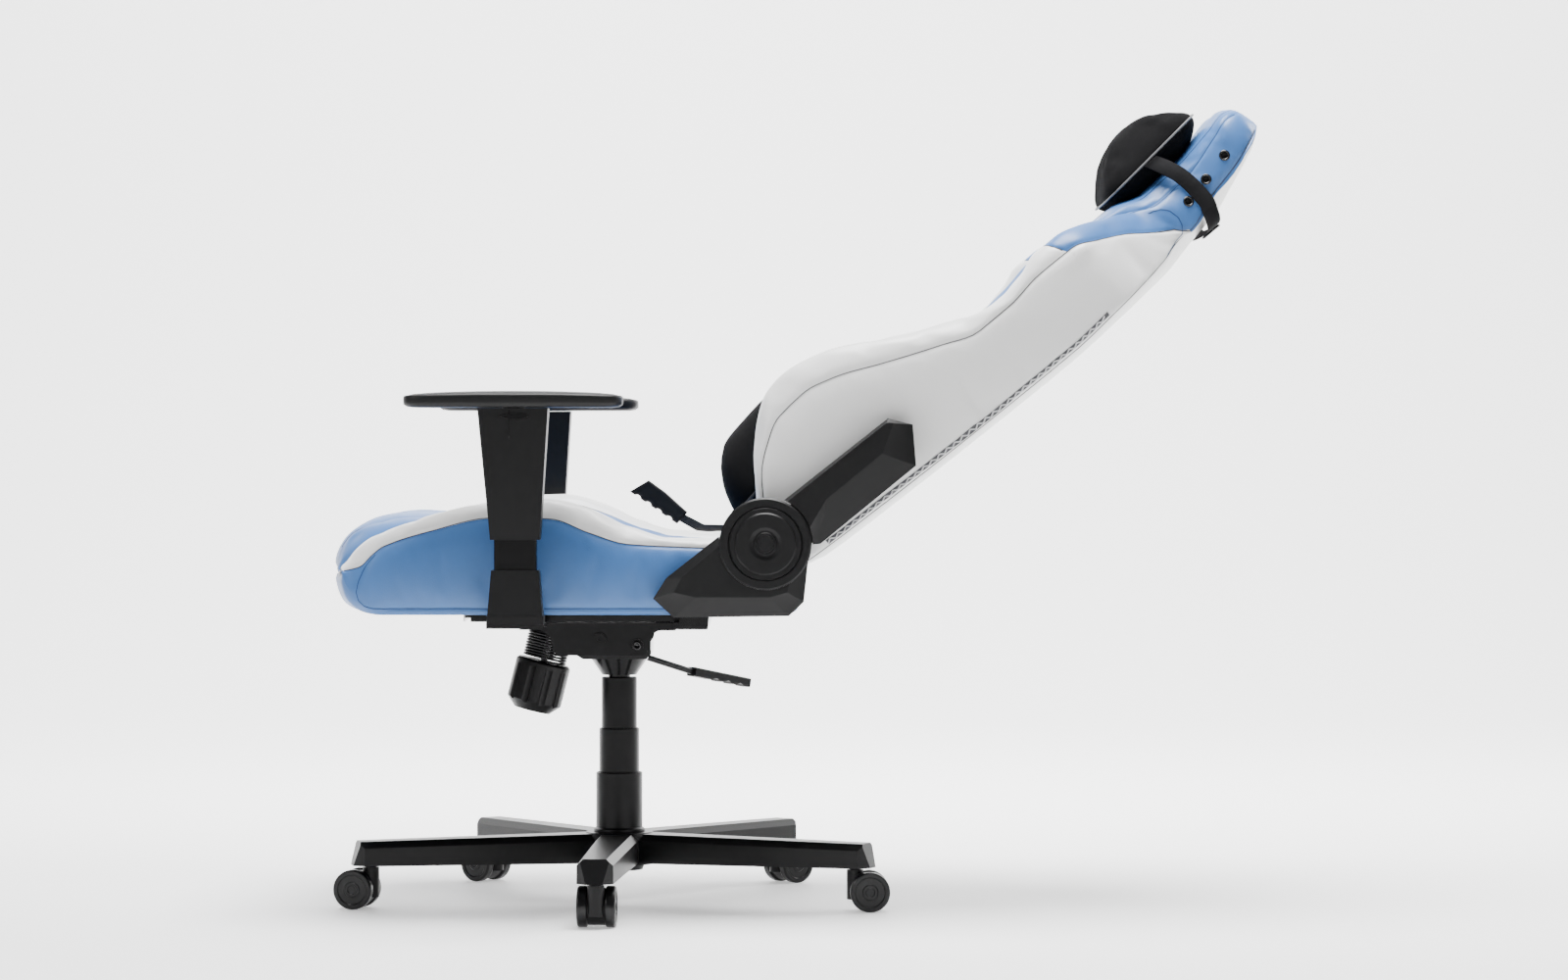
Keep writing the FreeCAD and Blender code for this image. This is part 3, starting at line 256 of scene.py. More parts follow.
def panel_curve(start, end, bulge, count, over=None):
    """Points of one panel from seam to seam, closer together near its seams. over: a point it passes."""
    chord = Vector((end[0] - start[0], end[1] - start[1]))
    half = ((start[0] + end[0]) / 2, (start[1] + end[1]) / 2)
    if over:
        middle = (2 * over[0] - half[0], 2 * over[1] - half[1])
    else:
        side = Vector((0, 0))
        if chord.length > 0.01:
            side = Vector((chord.y, -chord.x)).normalized() * (2 * bulge)
        middle = (half[0] + side.x, half[1] + side.y)
    shares = []
    for i in range(count + 1):
        u = i / count
        shares.append(0.65 * u + 0.35 * (0.5 - 0.5 * math.cos(math.pi * u)))
    return [bezier(start, middle, end, u) for u in shares]


def half_section(panels, groove):
    """Joins panels into one half outline. The seam at the end of each panel marked sunk is pressed in a
    little.
    """
    points = []
    tags = []
    seams = {}
    for index, (curve, sunk) in enumerate(panels):
        first = 0 if index == 0 else 1
        for step in range(first, len(curve)):
            points.append(Vector(curve[step]))
            tags.append(index)
        if sunk:
            seams[index] = len(points) - 1
    lengths = [0.0]
    for before, after in zip(points, points[1:]):
        lengths.append(lengths[-1] + (after - before).length)
    moved = []
    for i, point in enumerate(points):
        ahead = points[min(i + 1, len(points) - 1)] - points[max(i - 1, 0)]
        normal = Vector((ahead.y, -ahead.x)).normalized() if ahead.length > 1e-6 else Vector((0, 0))
        nearest = min((abs(lengths[i] - lengths[seam]) for seam in seams.values()), default=99.0)
        moved.append(point - normal * groove * math.exp(-(nearest / 3.2) ** 2))
    return moved, tags, seams


def loft_body(name, stations, section, place, materials, paint):
    """A closed body from half outlines at stations, mirrored to both sides, with its ends closed.

    Returns the piece and its seam lines, keyed by (panel, side)."""
    verts = []
    rings = []
    held = []
    lines = {}
    for station in stations:
        half, tags, seams = section(station)
        ring = []
        for i, point in enumerate(half):
            verts.append(place(point.x, station, point.y))
            ring.append(len(verts) - 1)
        for i in range(len(half) - 2, 0, -1):
            verts.append(place(-half[i].x, station, half[i].y))
            ring.append(len(verts) - 1)
        for panel, i in seams.items():
            for side, member in ((1, ring[i]), (-1, ring[-i])):
                held.append(member)
                lines.setdefault((panel, side), []).append(verts[member].copy())
        rings.append(ring)
    count = len(rings[0])
    faces = []
    painted = []
    for row in range(len(rings) - 1):
        middle = (stations[row] + stations[row + 1]) / 2
        for i in range(count):
            j = (i + 1) % count
            faces.append((rings[row][i], rings[row][j], rings[row + 1][j], rings[row + 1][i]))
            step = i + 1 if i + 1 < len(tags) else count - i
            painted.append(paint(tags[step], middle))
    for ring, station in ((rings[0], stations[0]), (rings[-1], stations[-1])):
        centre = sum((verts[i] for i in ring), Vector()) / count
        verts.append(centre)
        for i in range(count):
            faces.append((ring[i], ring[(i + 1) % count], len(verts) - 1))
            painted.append(paint(tags[-1], station))
    made = mesh_object(name, verts, faces, materials, painted)
    made["seams"] = sorted(held)
    outward(made)
    return made, lines


def spread(low, high, count, ease=0.75):
    """Stations from low to high, closer together at both ends."""
    out = []
    for i in range(count + 1):
        u = i / count
        out.append(low + (high - low) * ((1 - ease) * u + ease * (0.5 - 0.5 * math.cos(math.pi * u))))
    return out


# ---------------------------------------------------------------- cloth
def puff(made, pinned, pressure, limit, frames=14, slack=0.02, mass=0.3):
    """Fills a closed cover with air as cloth, its seams held, and keeps each move under the limit."""
    rest = [v.co.copy() for v in made.data.vertices]
    group = made.vertex_groups.new(name="seams")
    for weight, members in pinned.items():
        group.add(members, weight, "REPLACE")
    cloth = made.modifiers.new("Cloth", "CLOTH")
    settings = cloth.settings
    settings.quality = 5
    settings.mass = mass
    settings.tension_stiffness = 18
    settings.compression_stiffness = 18
    settings.shear_stiffness = 8
    settings.bending_stiffness = 0.6
    settings.use_pressure = True
    settings.uniform_pressure_force = pressure
    settings.shrink_min = -slack
    settings.vertex_group_mass = group.name
    settings.pin_stiffness = 1.0
    settings.effector_weights.gravity = 0.0
    cloth.collision_settings.use_collision = False
    cloth.point_cache.frame_start = 1
    cloth.point_cache.frame_end = frames
    scene = bpy.context.scene
    for number in range(1, frames + 1):
        scene.frame_set(number)
    graph = bpy.context.evaluated_depsgraph_get()
    solved = [v.co.copy() for v in made.evaluated_get(graph).data.vertices]
    made.modifiers.remove(cloth)
    for vertex, before, after in zip(made.data.vertices, rest, solved):
        move = after - before
        if move.length > limit:
            move *= limit / move.length
        vertex.co = before + move
    scene.frame_set(1)
    made.vertex_groups.remove(group)


def seam_weights(made, reach):
    """Full hold on the seams and a weaker one on the vertices beside them."""
    held = set(made["seams"])
    near = set()
    for edge in made.data.edges:
        a, b = edge.vertices
        if a in held and b not in held:
            near.add(b)
        if b in held and a not in held:
            near.add(a)
    return {1.0: sorted(held), reach: sorted(near)}


def subdivide(made, levels=1):
    modifier = made.modifiers.new("Subdivision", "SUBSURF")
    modifier.levels = levels
    modifier.render_levels = levels
    graph = bpy.context.evaluated_depsgraph_get()
    finer = bpy.data.meshes.new_from_object(made.evaluated_get(graph))
    made.modifiers.remove(modifier)
    made.data = finer


# ---------------------------------------------------------------- sewing and small fittings
def surface_of(made):
    mesh = made.data
    faces = [tuple(face.vertices) for face in mesh.polygons]
    return BVHTree.FromPolygons([v.co for v in mesh.vertices], faces)


def dense(points, step):
    """The same line with points no further apart than the step."""
    out = [points[0]]
    for before, after in zip(points, points[1:]):
        parts = max(1, math.ceil((after - before).length / step))
        out += [before.lerp(after, (i + 1) / parts) for i in range(parts)]
    return out


def laid(tree, points, lift):
    """The points moved onto a surface, and a little above it."""
    out = []
    for point in points:
        place, normal, _, _ = tree.find_nearest(point)
        out.append(place + normal * lift)
    return out


def press_seams(made, lines, depth, reach):
    """Draws the surface in along its seams, as the stitches do."""
    samples = [point for line in lines for point in dense(line, 1.5 * MM)]
    near = KDTree(len(samples))
    for i, point in enumerate(samples):
        near.insert(point, i)
    near.balance()
    normals = [v.normal.copy() for v in made.data.vertices]
    for vertex, normal in zip(made.data.vertices, normals):
        gap = near.find(vertex.co)[2]
        if gap < 3 * reach:
            vertex.co -= normal * depth * math.exp(-(gap / reach) ** 2)


def tube_mesh(points, radius, closed=False, sides=6):
    """Vertices and faces of a round cord through points."""
    verts = []
    faces = []
    count = len(points)
    for i, point in enumerate(points):
        before = points[i - 1] if closed or i else points[i]
        after = points[(i + 1) % count] if closed or i + 1 < count else points[i]
        heading = (after - before).normalized()
        across = heading.cross(Vector((0.3, 0.2, 1.0))).normalized()
        upward = heading.cross(across)
        for side in range(sides):
            angle = 2 * math.pi * side / sides
            verts.append(point + (across * math.cos(angle) + upward * math.sin(angle)) * radius)
    for i in range(count if closed else count - 1):
        j = (i + 1) % count
        for side in range(sides):
            turn = (side + 1) % sides
            faces.append((i * sides + side, i * sides + turn, j * sides + turn, j * sides + side))
    if not closed:
        faces.append(tuple(range(sides)))
        faces.append(tuple((count - 1) * sides + side for side in reversed(range(sides))))
    return verts, faces


def turned_mesh(profile, centre, axis, steps=32):
    """Vertices and faces of a (radius, height) outline turned round an axis."""
    heading = axis.normalized()
    across = heading.orthogonal().normalized()
    upward = heading.cross(across)
    verts = []
    faces = []
    for radius, height in profile:
        for i in range(steps):
            angle = 2 * math.pi * i / steps
            out = across * math.cos(angle) + upward * math.sin(angle)
            verts.append(centre + (out * radius + heading * height) * MM)
    for row in range(len(profile) - 1):
        for i in range(steps):
            j = (i + 1) % steps
            faces.append((row * steps + i, row * steps + j, (row + 1) * steps + j, (row + 1) * steps + i))
    faces.append(tuple(range(steps)))
    faces.append(tuple((len(profile) - 1) * steps + i for i in reversed(range(steps))))
    return verts, faces


def joined(name, parts, materials, body):
    """One piece made of several closed shells. parts: (vertices, faces, material number)."""
    verts = []
    faces = []
    painted = []
    for own_verts, own_faces, number in parts:
        start = len(verts)
        verts += own_verts
        faces += [tuple(start + i for i in face) for face in own_faces]
        painted += [number] * len(own_faces)
    made = mesh_object(name, verts, faces, materials, painted)
    outward(made)
    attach(made, body)
    return made


def threads(name, tree, lines, radius, material, body):
    """Sewing thread laid in the seams."""
    parts = [(*tube_mesh(laid(tree, dense(line, 3 * MM), 0.15 * MM), radius), 0) for line in lines]
    return joined(name, parts, [material], body)


# ---------------------------------------------------------------- back cushion
back_width = smooth_line([
    (0, 222), (14, 238), (45, 248), (300, 250), (430, 257), (520, 246), (580, 200), (640, 150),
    (690, 138), (765, 134), (790, 122), (803, 104), (808, 88),
])
back_rear = smooth_line([
    (0, -38), (8, -52), (24, -60), (192, -69), (440, -75), (602, -68), (653, -58), (709, -48),
    (736, -38), (774, -22), (794, -12), (803, -6), (808, 2),
])
back_rear_seam = smooth_line([
    (0, -34), (10, -47), (30, -54), (134, -60), (286, -65), (441, -67), (507, -63), (600, -54),
    (630, -46), (664, -41), (705, -30), (747, -21), (794, -5), (808, 3),
])
back_crest_seam = smooth_line([
    (0, 2), (25, 33), (53, 71), (77, 90), (112, 108), (154, 111), (193, 102), (250, 77), (319, 48),
    (367, 31), (414, 31), (466, 37), (511, 36), (548, 24), (582, 8), (621, -19), (640, -31), (652, -44),
    (705, -27), (747, -18), (794, -2), (808, 4),
])
back_crest = smooth_line([
    (0, 6), (6, 17), (32, 57), (62, 95), (103, 131), (120, 140), (151, 144), (203, 133), (270, 100),
    (335, 67), (382, 48), (410, 45), (446, 50), (486, 60), (517, 60), (541, 52), (587, 32), (620, 14),
    (640, 0), (660, -6), (700, -4), (750, 6), (790, 18), (808, 5),
])
back_inner_seam = smooth_line([
    (0, 8), (6, 14), (32, 46), (62, 84), (103, 119), (151, 131), (203, 120), (270, 88), (335, 60),
    (382, 45), (410, 42.5), (446, 47), (500, 55), (541, 46), (587, 28), (620, 15), (646, 9), (675, 10),
    (697, 12), (752, 27), (780, 35), (797, 30), (808, 6),
])
back_centre = smooth_line([
    (0, 10), (8, 30), (24, 44), (60, 51), (120, 55), (170, 57), (300, 45), (450, 33), (560, 37),
    (600, 38), (640, 27), (690, 29), (752, 38), (780, 43), (796, 38), (808, 8),
])
band_width = smooth_line([(0, 46), (480, 50), (580, 32), (640, 12), (700, 8), (808, 8)])
SPLIT_ALONG = 503.0
HEAD_ALONG = 646.0
BACK_WELL = 160.0


def back_section(along):
    width = back_width(along)
    rear = back_rear(along)
    seam_x = width - band_width(along)
    well_x = min(BACK_WELL, seam_x - 16)
    crest_front = back_crest(along)
    head_share = fade(along, 600, 655)
    rear_seam = (width - 7, back_rear_seam(along))
    crest_seam = (width - 1.5, back_crest_seam(along))
    over = (width - 20 + 19 * head_share, crest_front)
    inner_seam = (seam_x, back_inner_seam(along))
    well_seam = (well_x, back_centre(along) - 1.5 * (1 - head_share))
    centre = (0.0, back_centre(along))
    depth = max(0.1, min(1.0, (along + 4) / 30, (812 - along) / 25))
    panels = [
        (panel_curve((0.0, rear), rear_seam, 2.0 * depth, 9), True),
        (panel_curve(rear_seam, crest_seam, 3.5 * depth, 11), True),
        (panel_curve(crest_seam, inner_seam, 0, 10, over=over), True),
        (panel_curve(inner_seam, well_seam, 5.0 * depth * (1 - head_share) + 0.5, 8), True),
        (panel_curve(well_seam, centre, 4.0 * depth, 10), False),
    ]
    return half_section(panels, (2.6 - 1.9 * head_share) * depth)


def back_paint(panel, along):
    """Material number of a panel: 0 blue, 1 white."""
    if panel == 0:
        return 1 if along < 797 else 0
    if panel == 1:
        return 0 if along > HEAD_ALONG + 4 else 1
    if panel == 2:
        return 0 if along > SPLIT_ALONG else 1
    return 0


def slanted_back_place(x, along, front):
    """The split between the white and the blue part of the crest band runs at a slant."""
    slant = math.exp(-((along - SPLIT_ALONG) / 30) ** 2) * fade(abs(x), 170, 215)
    shifted = along + 0.62 * (49 - max(front, 20)) * slant * fade(front, 10, 30)
    return back_place(x, shifted, front)


SHOULDER_SEAM = [
    (612, -57), (630, -50), (641, -43), (649, -33), (652, -22), (649, -8), (642, 3), (630, 10),
]


def back_cushion():
    split = [SPLIT_ALONG, SPLIT_ALONG - 3, SPLIT_ALONG + 3]
    stations = sorted(set(spread(0, 808, 118, 0.6)[:-1] + [808.0] + split))
    made, lines = loft_body(
        "back_cushion_cover", stations, back_section, slanted_back_place, [BLUE, WHITE], back_paint
    )
    puff(made, seam_weights(made, 0.5), 2.0, 1.5 * MM, slack=0.008)
    subdivide(made)
    dark = [lines[panel, side][4:-3] for panel in (0, 1) for side in (1, -1)]
    blue = [lines[panel, side][6:-5] for panel in (2, 3) for side in (1, -1)]
    for side in (1, -1):
        blue.append([
            back_place(side * (back_width(along) + 2), along, front) for along, front in SHOULDER_SEAM
        ])
        dark.append([slanted_back_place(side * x, SPLIT_ALONG, z) for x, z in half_split()])
    press_seams(made, dark + blue, 1.1 * MM, 2.2 * MM)
    tree = surface_of(made)
    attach(made, "back")
    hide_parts("back_cushion")
    threads("back_seam_threads", tree, dark, 0.55 * MM, DARK_THREAD, "back")
    threads("back_blue_threads", tree, blue, 0.5 * MM, BLUE_THREAD, "back")
    back_zips(tree)
    eyelets(tree)


def half_split():
    """Points of the crest band's outline where its white and blue parts meet."""
    half, tags, _ = back_section(SPLIT_ALONG)
    return [(point.x, point.y) for point, panel in zip(half, tags) if panel == 2]


ZIP_ALONG = range(58, 512, 12)
ZIP_RISES = (1.8, 6.0, 10.2)


def back_zips(tree):
    """A coil zip beside each rear edge: tape with a zigzag of teeth."""
    for side, name in ((1, "left"), (-1, "right")):
        rows = []
        for low in ZIP_ALONG:
            x = side * (back_width(low) + 1)
            edge = [back_place(x, low, back_rear_seam(low) + rise) for rise in ZIP_RISES]
            rows.append(laid(tree, edge, 0.5 * MM))
        verts = [point for row in rows for point in row]
        faces = []
        for i in range(len(rows) - 1):
            for j in (0, 1):
                faces.append((3 * i + j, 3 * i + j + 1, 3 * i + j + 4, 3 * i + j + 3))
        tape = mesh_object("zip_tape_" + name, verts, faces, [ZIP_TAPE])
        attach(tape, "back")
        zigzag = []
        for i in range(len(rows) - 1):
            for share, (a, b) in ((0.0, (0, 1)), (0.5, (1, 2))):
                start = rows[i][a].lerp(rows[i][b], 0.35 if a == 0 else 0.65)
                finish = rows[i + 1][a].lerp(rows[i + 1][b], 0.35 if a == 0 else 0.65)
                zigzag.append(start.lerp(finish, share))
        cord = tube_mesh(zigzag, 1.1 * MM, sides=6)
        joined("zip_teeth_" + name, [(*cord, 0)], [ZIP_TEETH], "back")


EYELET_X = 142
EYELET_PLACES = ((747, 2), (710, -6), (675, -14))


def eyelets(tree):
    """Three black eyelets down each side of the head part, for the pillow's strap."""
    parts = []
    for along, front in EYELET_PLACES:
        for side in (1, -1):
            place, normal, _, _ = tree.find_nearest(back_place(side * EYELET_X, along, front))
            ring = [(3.8, -2.5), (4.2, 0.6), (5.0, 1.2), (6.0, 1.3), (6.8, 0.7), (7.0, -0.6)]
            parts.append((*turned_mesh(ring, place, normal), 0))
            parts.append((*turned_mesh([(4.2, -1.0), (4.2, 0.35)], place, normal), 1))
    joined("head_eyelets", parts, [EYELET, HOLE], "back")


# ---------------------------------------------------------------- seat cushion
SEAT_WIDTH = 250.0
SEAT_WELL = 158.0
seat_bottom = smooth_line([
    (-355, 424), (-351, 404), (-342, 388), (-325, 378), (-300, 374.5), (205, 374.5), (222, 378),
    (230, 388), (232, 400),
])
seat_side_seam = smooth_line([
    (-355, 426), (-349, 410), (-338, 394), (-318, 384), (-290, 382), (205, 382), (220, 385), (229, 392),
    (232, 402),
])
seat_crest_seam = smooth_line([
    (-355, 428), (-335, 429), (-309, 434), (-291, 450), (-279, 459), (-221, 478), (-148, 494),
    (-76, 493), (-29, 476), (19, 462), (79, 459), (125, 457), (170, 446), (205, 425), (232, 404),
])
seat_crest = smooth_line([
    (-355, 429), (-338, 432), (-326, 441), (-317, 452), (-293, 471), (-269, 481), (-221, 497),
    (-149, 512), (-78, 516), (-30, 504), (18, 484), (66, 471), (132, 467), (172, 457), (212, 434),
    (232, 408),
])
seat_centre = smooth_line([
    (-355, 430), (-354, 440), (-346, 462), (-330, 479), (-302, 489), (-259, 495), (-180, 489),
    (-90, 480), (60, 460), (130, 446), (185, 437), (215, 424), (232, 408),
])


def seat_setback(x, station):
    """The nose is rounded in plan: the sides start behind the middle."""
    return 26.0 * (abs(x) / SEAT_WIDTH) ** 2.2 * (1 - fade(station, -355, -190))


def seat_section(station):
    nose = 1 - fade(station, -352, -300)
    tail = fade(station, 200, 232)
    width = SEAT_WIDTH - 14 * nose ** 2 - 10 * tail
    crest_y = station + seat_setback(width - 24, station)
    side_y = station + seat_setback(width, station)
    low = seat_bottom(station)
    depth = max(0.12, min(1.0, (station + 360) / 40, (236 - station) / 30))
    bottom_seam = (width - 8, low)
    side_seam = (width - 1, seat_side_seam(station))
    crest_seam = (width - 1.5, max(seat_crest_seam(side_y), seat_side_seam(station) + 1))
    crest_z = max(seat_crest(crest_y), crest_seam[1] + 1)
    over = (width - 18, crest_z)
    inner_seam = (width - 46, crest_z - 9)
    middle_z = seat_centre(station)
    well_seam = (SEAT_WELL - 4 * nose, min(middle_z - 1.5, crest_z - 2) if station > -240 else middle_z - 1.5)
    panels = [
        (panel_curve((0.0, low), bottom_seam, 0.5, 8), False),
        (panel_curve(bottom_seam, side_seam, 1.0, 3), station > -290),
        (panel_curve(side_seam, crest_seam, 4.0 * depth, 10), True),
        (panel_curve(crest_seam, inner_seam, 0, 10, over=over), True),
        (panel_curve(inner_seam, well_seam, 3.0 * depth, 8), True),
        (panel_curve(well_seam, (0.0, middle_z), 3.0 * depth, 10), False),
    ]
    return half_section(panels, 2.4 * depth)


def seat_paint(panel, station):
    """Material number of a panel: 0 blue, 1 white, 2 dust cover."""
    if panel == 0:
        return 2 if station > -318 else 0
    if panel == 3:
        return 1
    return 0


def seat_shape_place(x, station, z):
    return seat_place(x, station + seat_setback(x, station), z)


SEAT_SIDE_CURL = [
    (-290, 450), (-299, 443), (-308, 430), (-314, 417), (-317, 402), (-314, 390), (-306, 384),
    (-292, 382),
]


def seat_cushion():
    stations = spread(-355, 232, 92, 0.7)
    looks = [BLUE, WHITE, DUST_COVER]
    made, lines = loft_body("seat_cushion_cover", stations, seat_section, seat_shape_place, looks, seat_paint)
    flat = [v.index for v in made.data.vertices if v.co.z < 0.3765]
    weights = seam_weights(made, 0.5)
    weights[1.0] = sorted(set(weights[1.0]) | set(flat))
    puff(made, weights, 2.0, 1.8 * MM, slack=0.01)
    subdivide(made)
    dark = [lines[3, side][2:-2] for side in (1, -1)] + [lines[2, side][2:-2] for side in (1, -1)]
    blue = [lines[4, side][3:-3] for side in (1, -1)]
    for side in (1, -1):
        curl = [seat_place(side * (SEAT_WIDTH + 1), y, z) for y, z in SEAT_SIDE_CURL]
        blue.append(curl + [point for point in lines[1, side][:-2] if point.y > -0.288])
    press_seams(made, dark + blue, 1.1 * MM, 2.2 * MM)
    tree = surface_of(made)
    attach(made, "seat")
    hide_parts("seat_cushion")
    threads("seat_seam_threads", tree, dark, 0.5 * MM, DARK_THREAD, "seat")
    threads("seat_blue_threads", tree, blue, 0.5 * MM, BLUE_THREAD, "seat")


# ---------------------------------------------------------------- pillows
PILLOW_CORNER = 0.42                 # squareness of a pillow's outline, 1 is an ellipse
# half width, middle along the back, half length
LUMBAR_SIZE = (150, 82, 92)
HEAD_SIZE = (119, 677, 80)


def pillow(name, half_x, mid_along, half_along, seam_front, front_bulge, rear_bulge, lean, fullness):
    """Two sewn sheets with a rounded-rectangle seam, filled out on both sides of the seam's plane."""
    rows = 14
    spokes = 72
    verts = []
    rings = []
    for side, bulge in ((1, front_bulge), (-1, rear_bulge)):
        for row in range(rows + 1):
            share = 1 - row / rows
            if side < 0 and row == 0:
                continue
            ring = []
            for spoke in range(spokes):
                angle = 2 * math.pi * spoke / spokes
                cosine, sine = math.cos(angle), math.sin(angle)
                x = half_x * math.copysign(abs(cosine) ** PILLOW_CORNER, cosine) * share
                along = half_along * math.copysign(abs(sine) ** PILLOW_CORNER, sine) * share
                height = bulge * (1 - share ** (fullness if side > 0 else 5)) ** 0.9
                rise = side * height
                shifted = mid_along + along - rise * math.sin(lean)
                verts.append(back_place(x, shifted, seam_front(along) + rise))
                ring.append(len(verts) - 1)
                if row == rows:
                    break
            rings.append((side, ring))
    faces = []
    for side in (1, -1):
        own = [ring for mark, ring in rings if mark == side]
        if side < 0:
            own = [rings[0][1]] + own
        for outer, inner in zip(own, own[1:]):
            for i in range(spokes):
                j = (i + 1) % spokes
                if len(inner) == 1:
                    faces.append((outer[i], outer[j], inner[0]))
                else:
                    faces.append((outer[i], outer[j], inner[j], inner[i]))
    made = mesh_object(name, verts, faces, [FABRIC])
    outward(made)
    made["seams"] = list(rings[0][1])
    return made


def seam_loop(half_x, mid_along, half_along, seam_front, lift=0.0):
    """Points of a pillow's seam, for its piping."""
    points = []
    for spoke in range(96):
        angle = 2 * math.pi * spoke / 96
        cosine, sine = math.cos(angle), math.sin(angle)
        x = (half_x + lift) * math.copysign(abs(cosine) ** PILLOW_CORNER, cosine)
        along = (half_along + lift) * math.copysign(abs(sine) ** PILLOW_CORNER, sine)
        points.append(back_place(x, mid_along + along, seam_front(along)))
    return points


def lumbar_pillow():
    def seam(along):
        return 62 + 13 * along / LUMBAR_SIZE[2]

    made = pillow("lumbar_pillow_cover", *LUMBAR_SIZE, seam, 67, 8, 0.05, 4.2)
    puff(made, {1.0: made["seams"]}, 3.0, 6 * MM, slack=0.03)
    subdivide(made)
    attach(made, "back")
    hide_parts("lumbar_pillow")
    cord = tube_mesh(seam_loop(*LUMBAR_SIZE, seam, 1.0), 2.0 * MM, closed=True, sides=8)
    joined("lumbar_pillow_piping", [(*cord, 0)], [BLACK_PIPING], "back")


def head_pillow():
    def seam(along):
        return 58 + 7 * along / HEAD_SIZE[2]

    made = pillow("head_pillow_cover", *HEAD_SIZE, seam, 46, 28, 0.0, 2.2)
    puff(made, {1.0: made["seams"]}, 3.0, 4 * MM, slack=0.03)
    subdivide(made)
    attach(made, "back")
    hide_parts("head_pillow")
    # The grey of this cord is a painted highlight on black piping.
    cord = tube_mesh(seam_loop(*HEAD_SIZE, seam, 0.5), 1.4 * MM, closed=True, sides=8)
    joined("head_pillow_piping", [(*cord, 0)], [PIPING_PAINTED_HIGHLIGHT], "back")


STRAP_HALF_WIDTH = 10.2
STRAP_HALF_THICKNESS = 0.8
LOCK_ALONG = 678.0
LOCK_FRONT = -62.5
LOCK_HALF_HEIGHT = 11.5
# half of the strap's path: x, along, front
STRAP_PATH = [
    (108, 671, 60), (121, 676, 48), (131, 682, 34), (138, 688, 16), (140.5, 691, -6),
    (141, 691.5, -28), (139.5, 688, -40), (134, 685, -50), (124, 682, -57),
    (104, 680, -59.5), (60, 678, -60.5), (0, 677, -60.5),
]


def smooth_path(corners, step):
    """Points along a smooth curve through the corners."""
    spans = [0.0]
    for before, after in zip(corners, corners[1:]):
        spans.append(spans[-1] + (Vector(after) - Vector(before)).length)
    curves = [smooth_line(list(zip(spans, values))) for values in zip(*corners)]
    count = int(spans[-1] / step)
    return [tuple(curve(spans[-1] * i / count) for curve in curves) for i in range(count + 1)]


def head_strap():
    """Elastic webbing from the pillow's ends round the back of the head part, with a ladder lock."""
    half = smooth_path(STRAP_PATH, 4)
    path = [back_place(*place) for place in half]
    path += [back_place(-x, along, front) for x, along, front in reversed(half[:-1])]
    upward = back_place(0, 1, 0) - back_place(0, 0, 0)
    verts = []
    faces = []
    for i, point in enumerate(path):
        heading = (path[min(i + 1, len(path) - 1)] - path[max(i - 1, 0)]).normalized()
        wide = (upward - heading * upward.dot(heading)).normalized() * (STRAP_HALF_WIDTH * MM)
        thick = heading.cross(wide).normalized() * (STRAP_HALF_THICKNESS * MM)
        inset = wide * 0.93
        ring = (wide, inset + thick, -inset + thick, -wide, -inset - thick, inset - thick)
        verts += [point + offset for offset in ring]
    for i in range(len(path) - 1):
        for side in range(6):
            turn = (side + 1) % 6
            faces.append((6 * i + side, 6 * i + turn, 6 * i + 6 + turn, 6 * i + 6 + side))
    faces.append(tuple(range(6)))
    faces.append(tuple(6 * (len(path) - 1) + side for side in reversed(range(6))))
    strap = joined("head_strap_webbing", [(verts, faces, 0)], [WEBBING], "back")
    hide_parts("head_strap")
    bars = []
    edges = (-LOCK_HALF_HEIGHT, LOCK_HALF_HEIGHT)
    for x in (68, 79, 90):
        ends = [back_place(x, LOCK_ALONG + rise, LOCK_FRONT) for rise in edges]
        bars.append((*tube_mesh(dense(ends, 6 * MM), 1.3 * MM, sides=8), 0))
    for rise in edges:
        ends = [back_place(x, LOCK_ALONG + rise, LOCK_FRONT) for x in (67, 91)]
        bars.append((*tube_mesh(dense(ends, 6 * MM), 1.5 * MM, sides=8), 0))
    joined("strap_ladder_lock", bars, [PLASTIC], "back")


# ---------------------------------------------------------------- armrests and mechanism
ARM_X = 290.0
PAD_Y = -117.5


def pad_ring(side, half_x, half_y, z, drop, power):
    """One closed outline of an arm pad, a rounded rectangle that drops towards its ends."""
    ring = []
    for i in range(72):
        angle = 2 * math.pi * (i + 0.5) / 72
        cosine, sine = math.cos(angle), math.sin(angle)
        x = half_x * math.copysign(abs(cosine) ** power, cosine)
        y = half_y * math.copysign(abs(sine) ** power, sine)
        ring.append(seat_place(side * ARM_X + x, PAD_Y + y, z - drop * (y / 132.5) ** 2))
    return ring


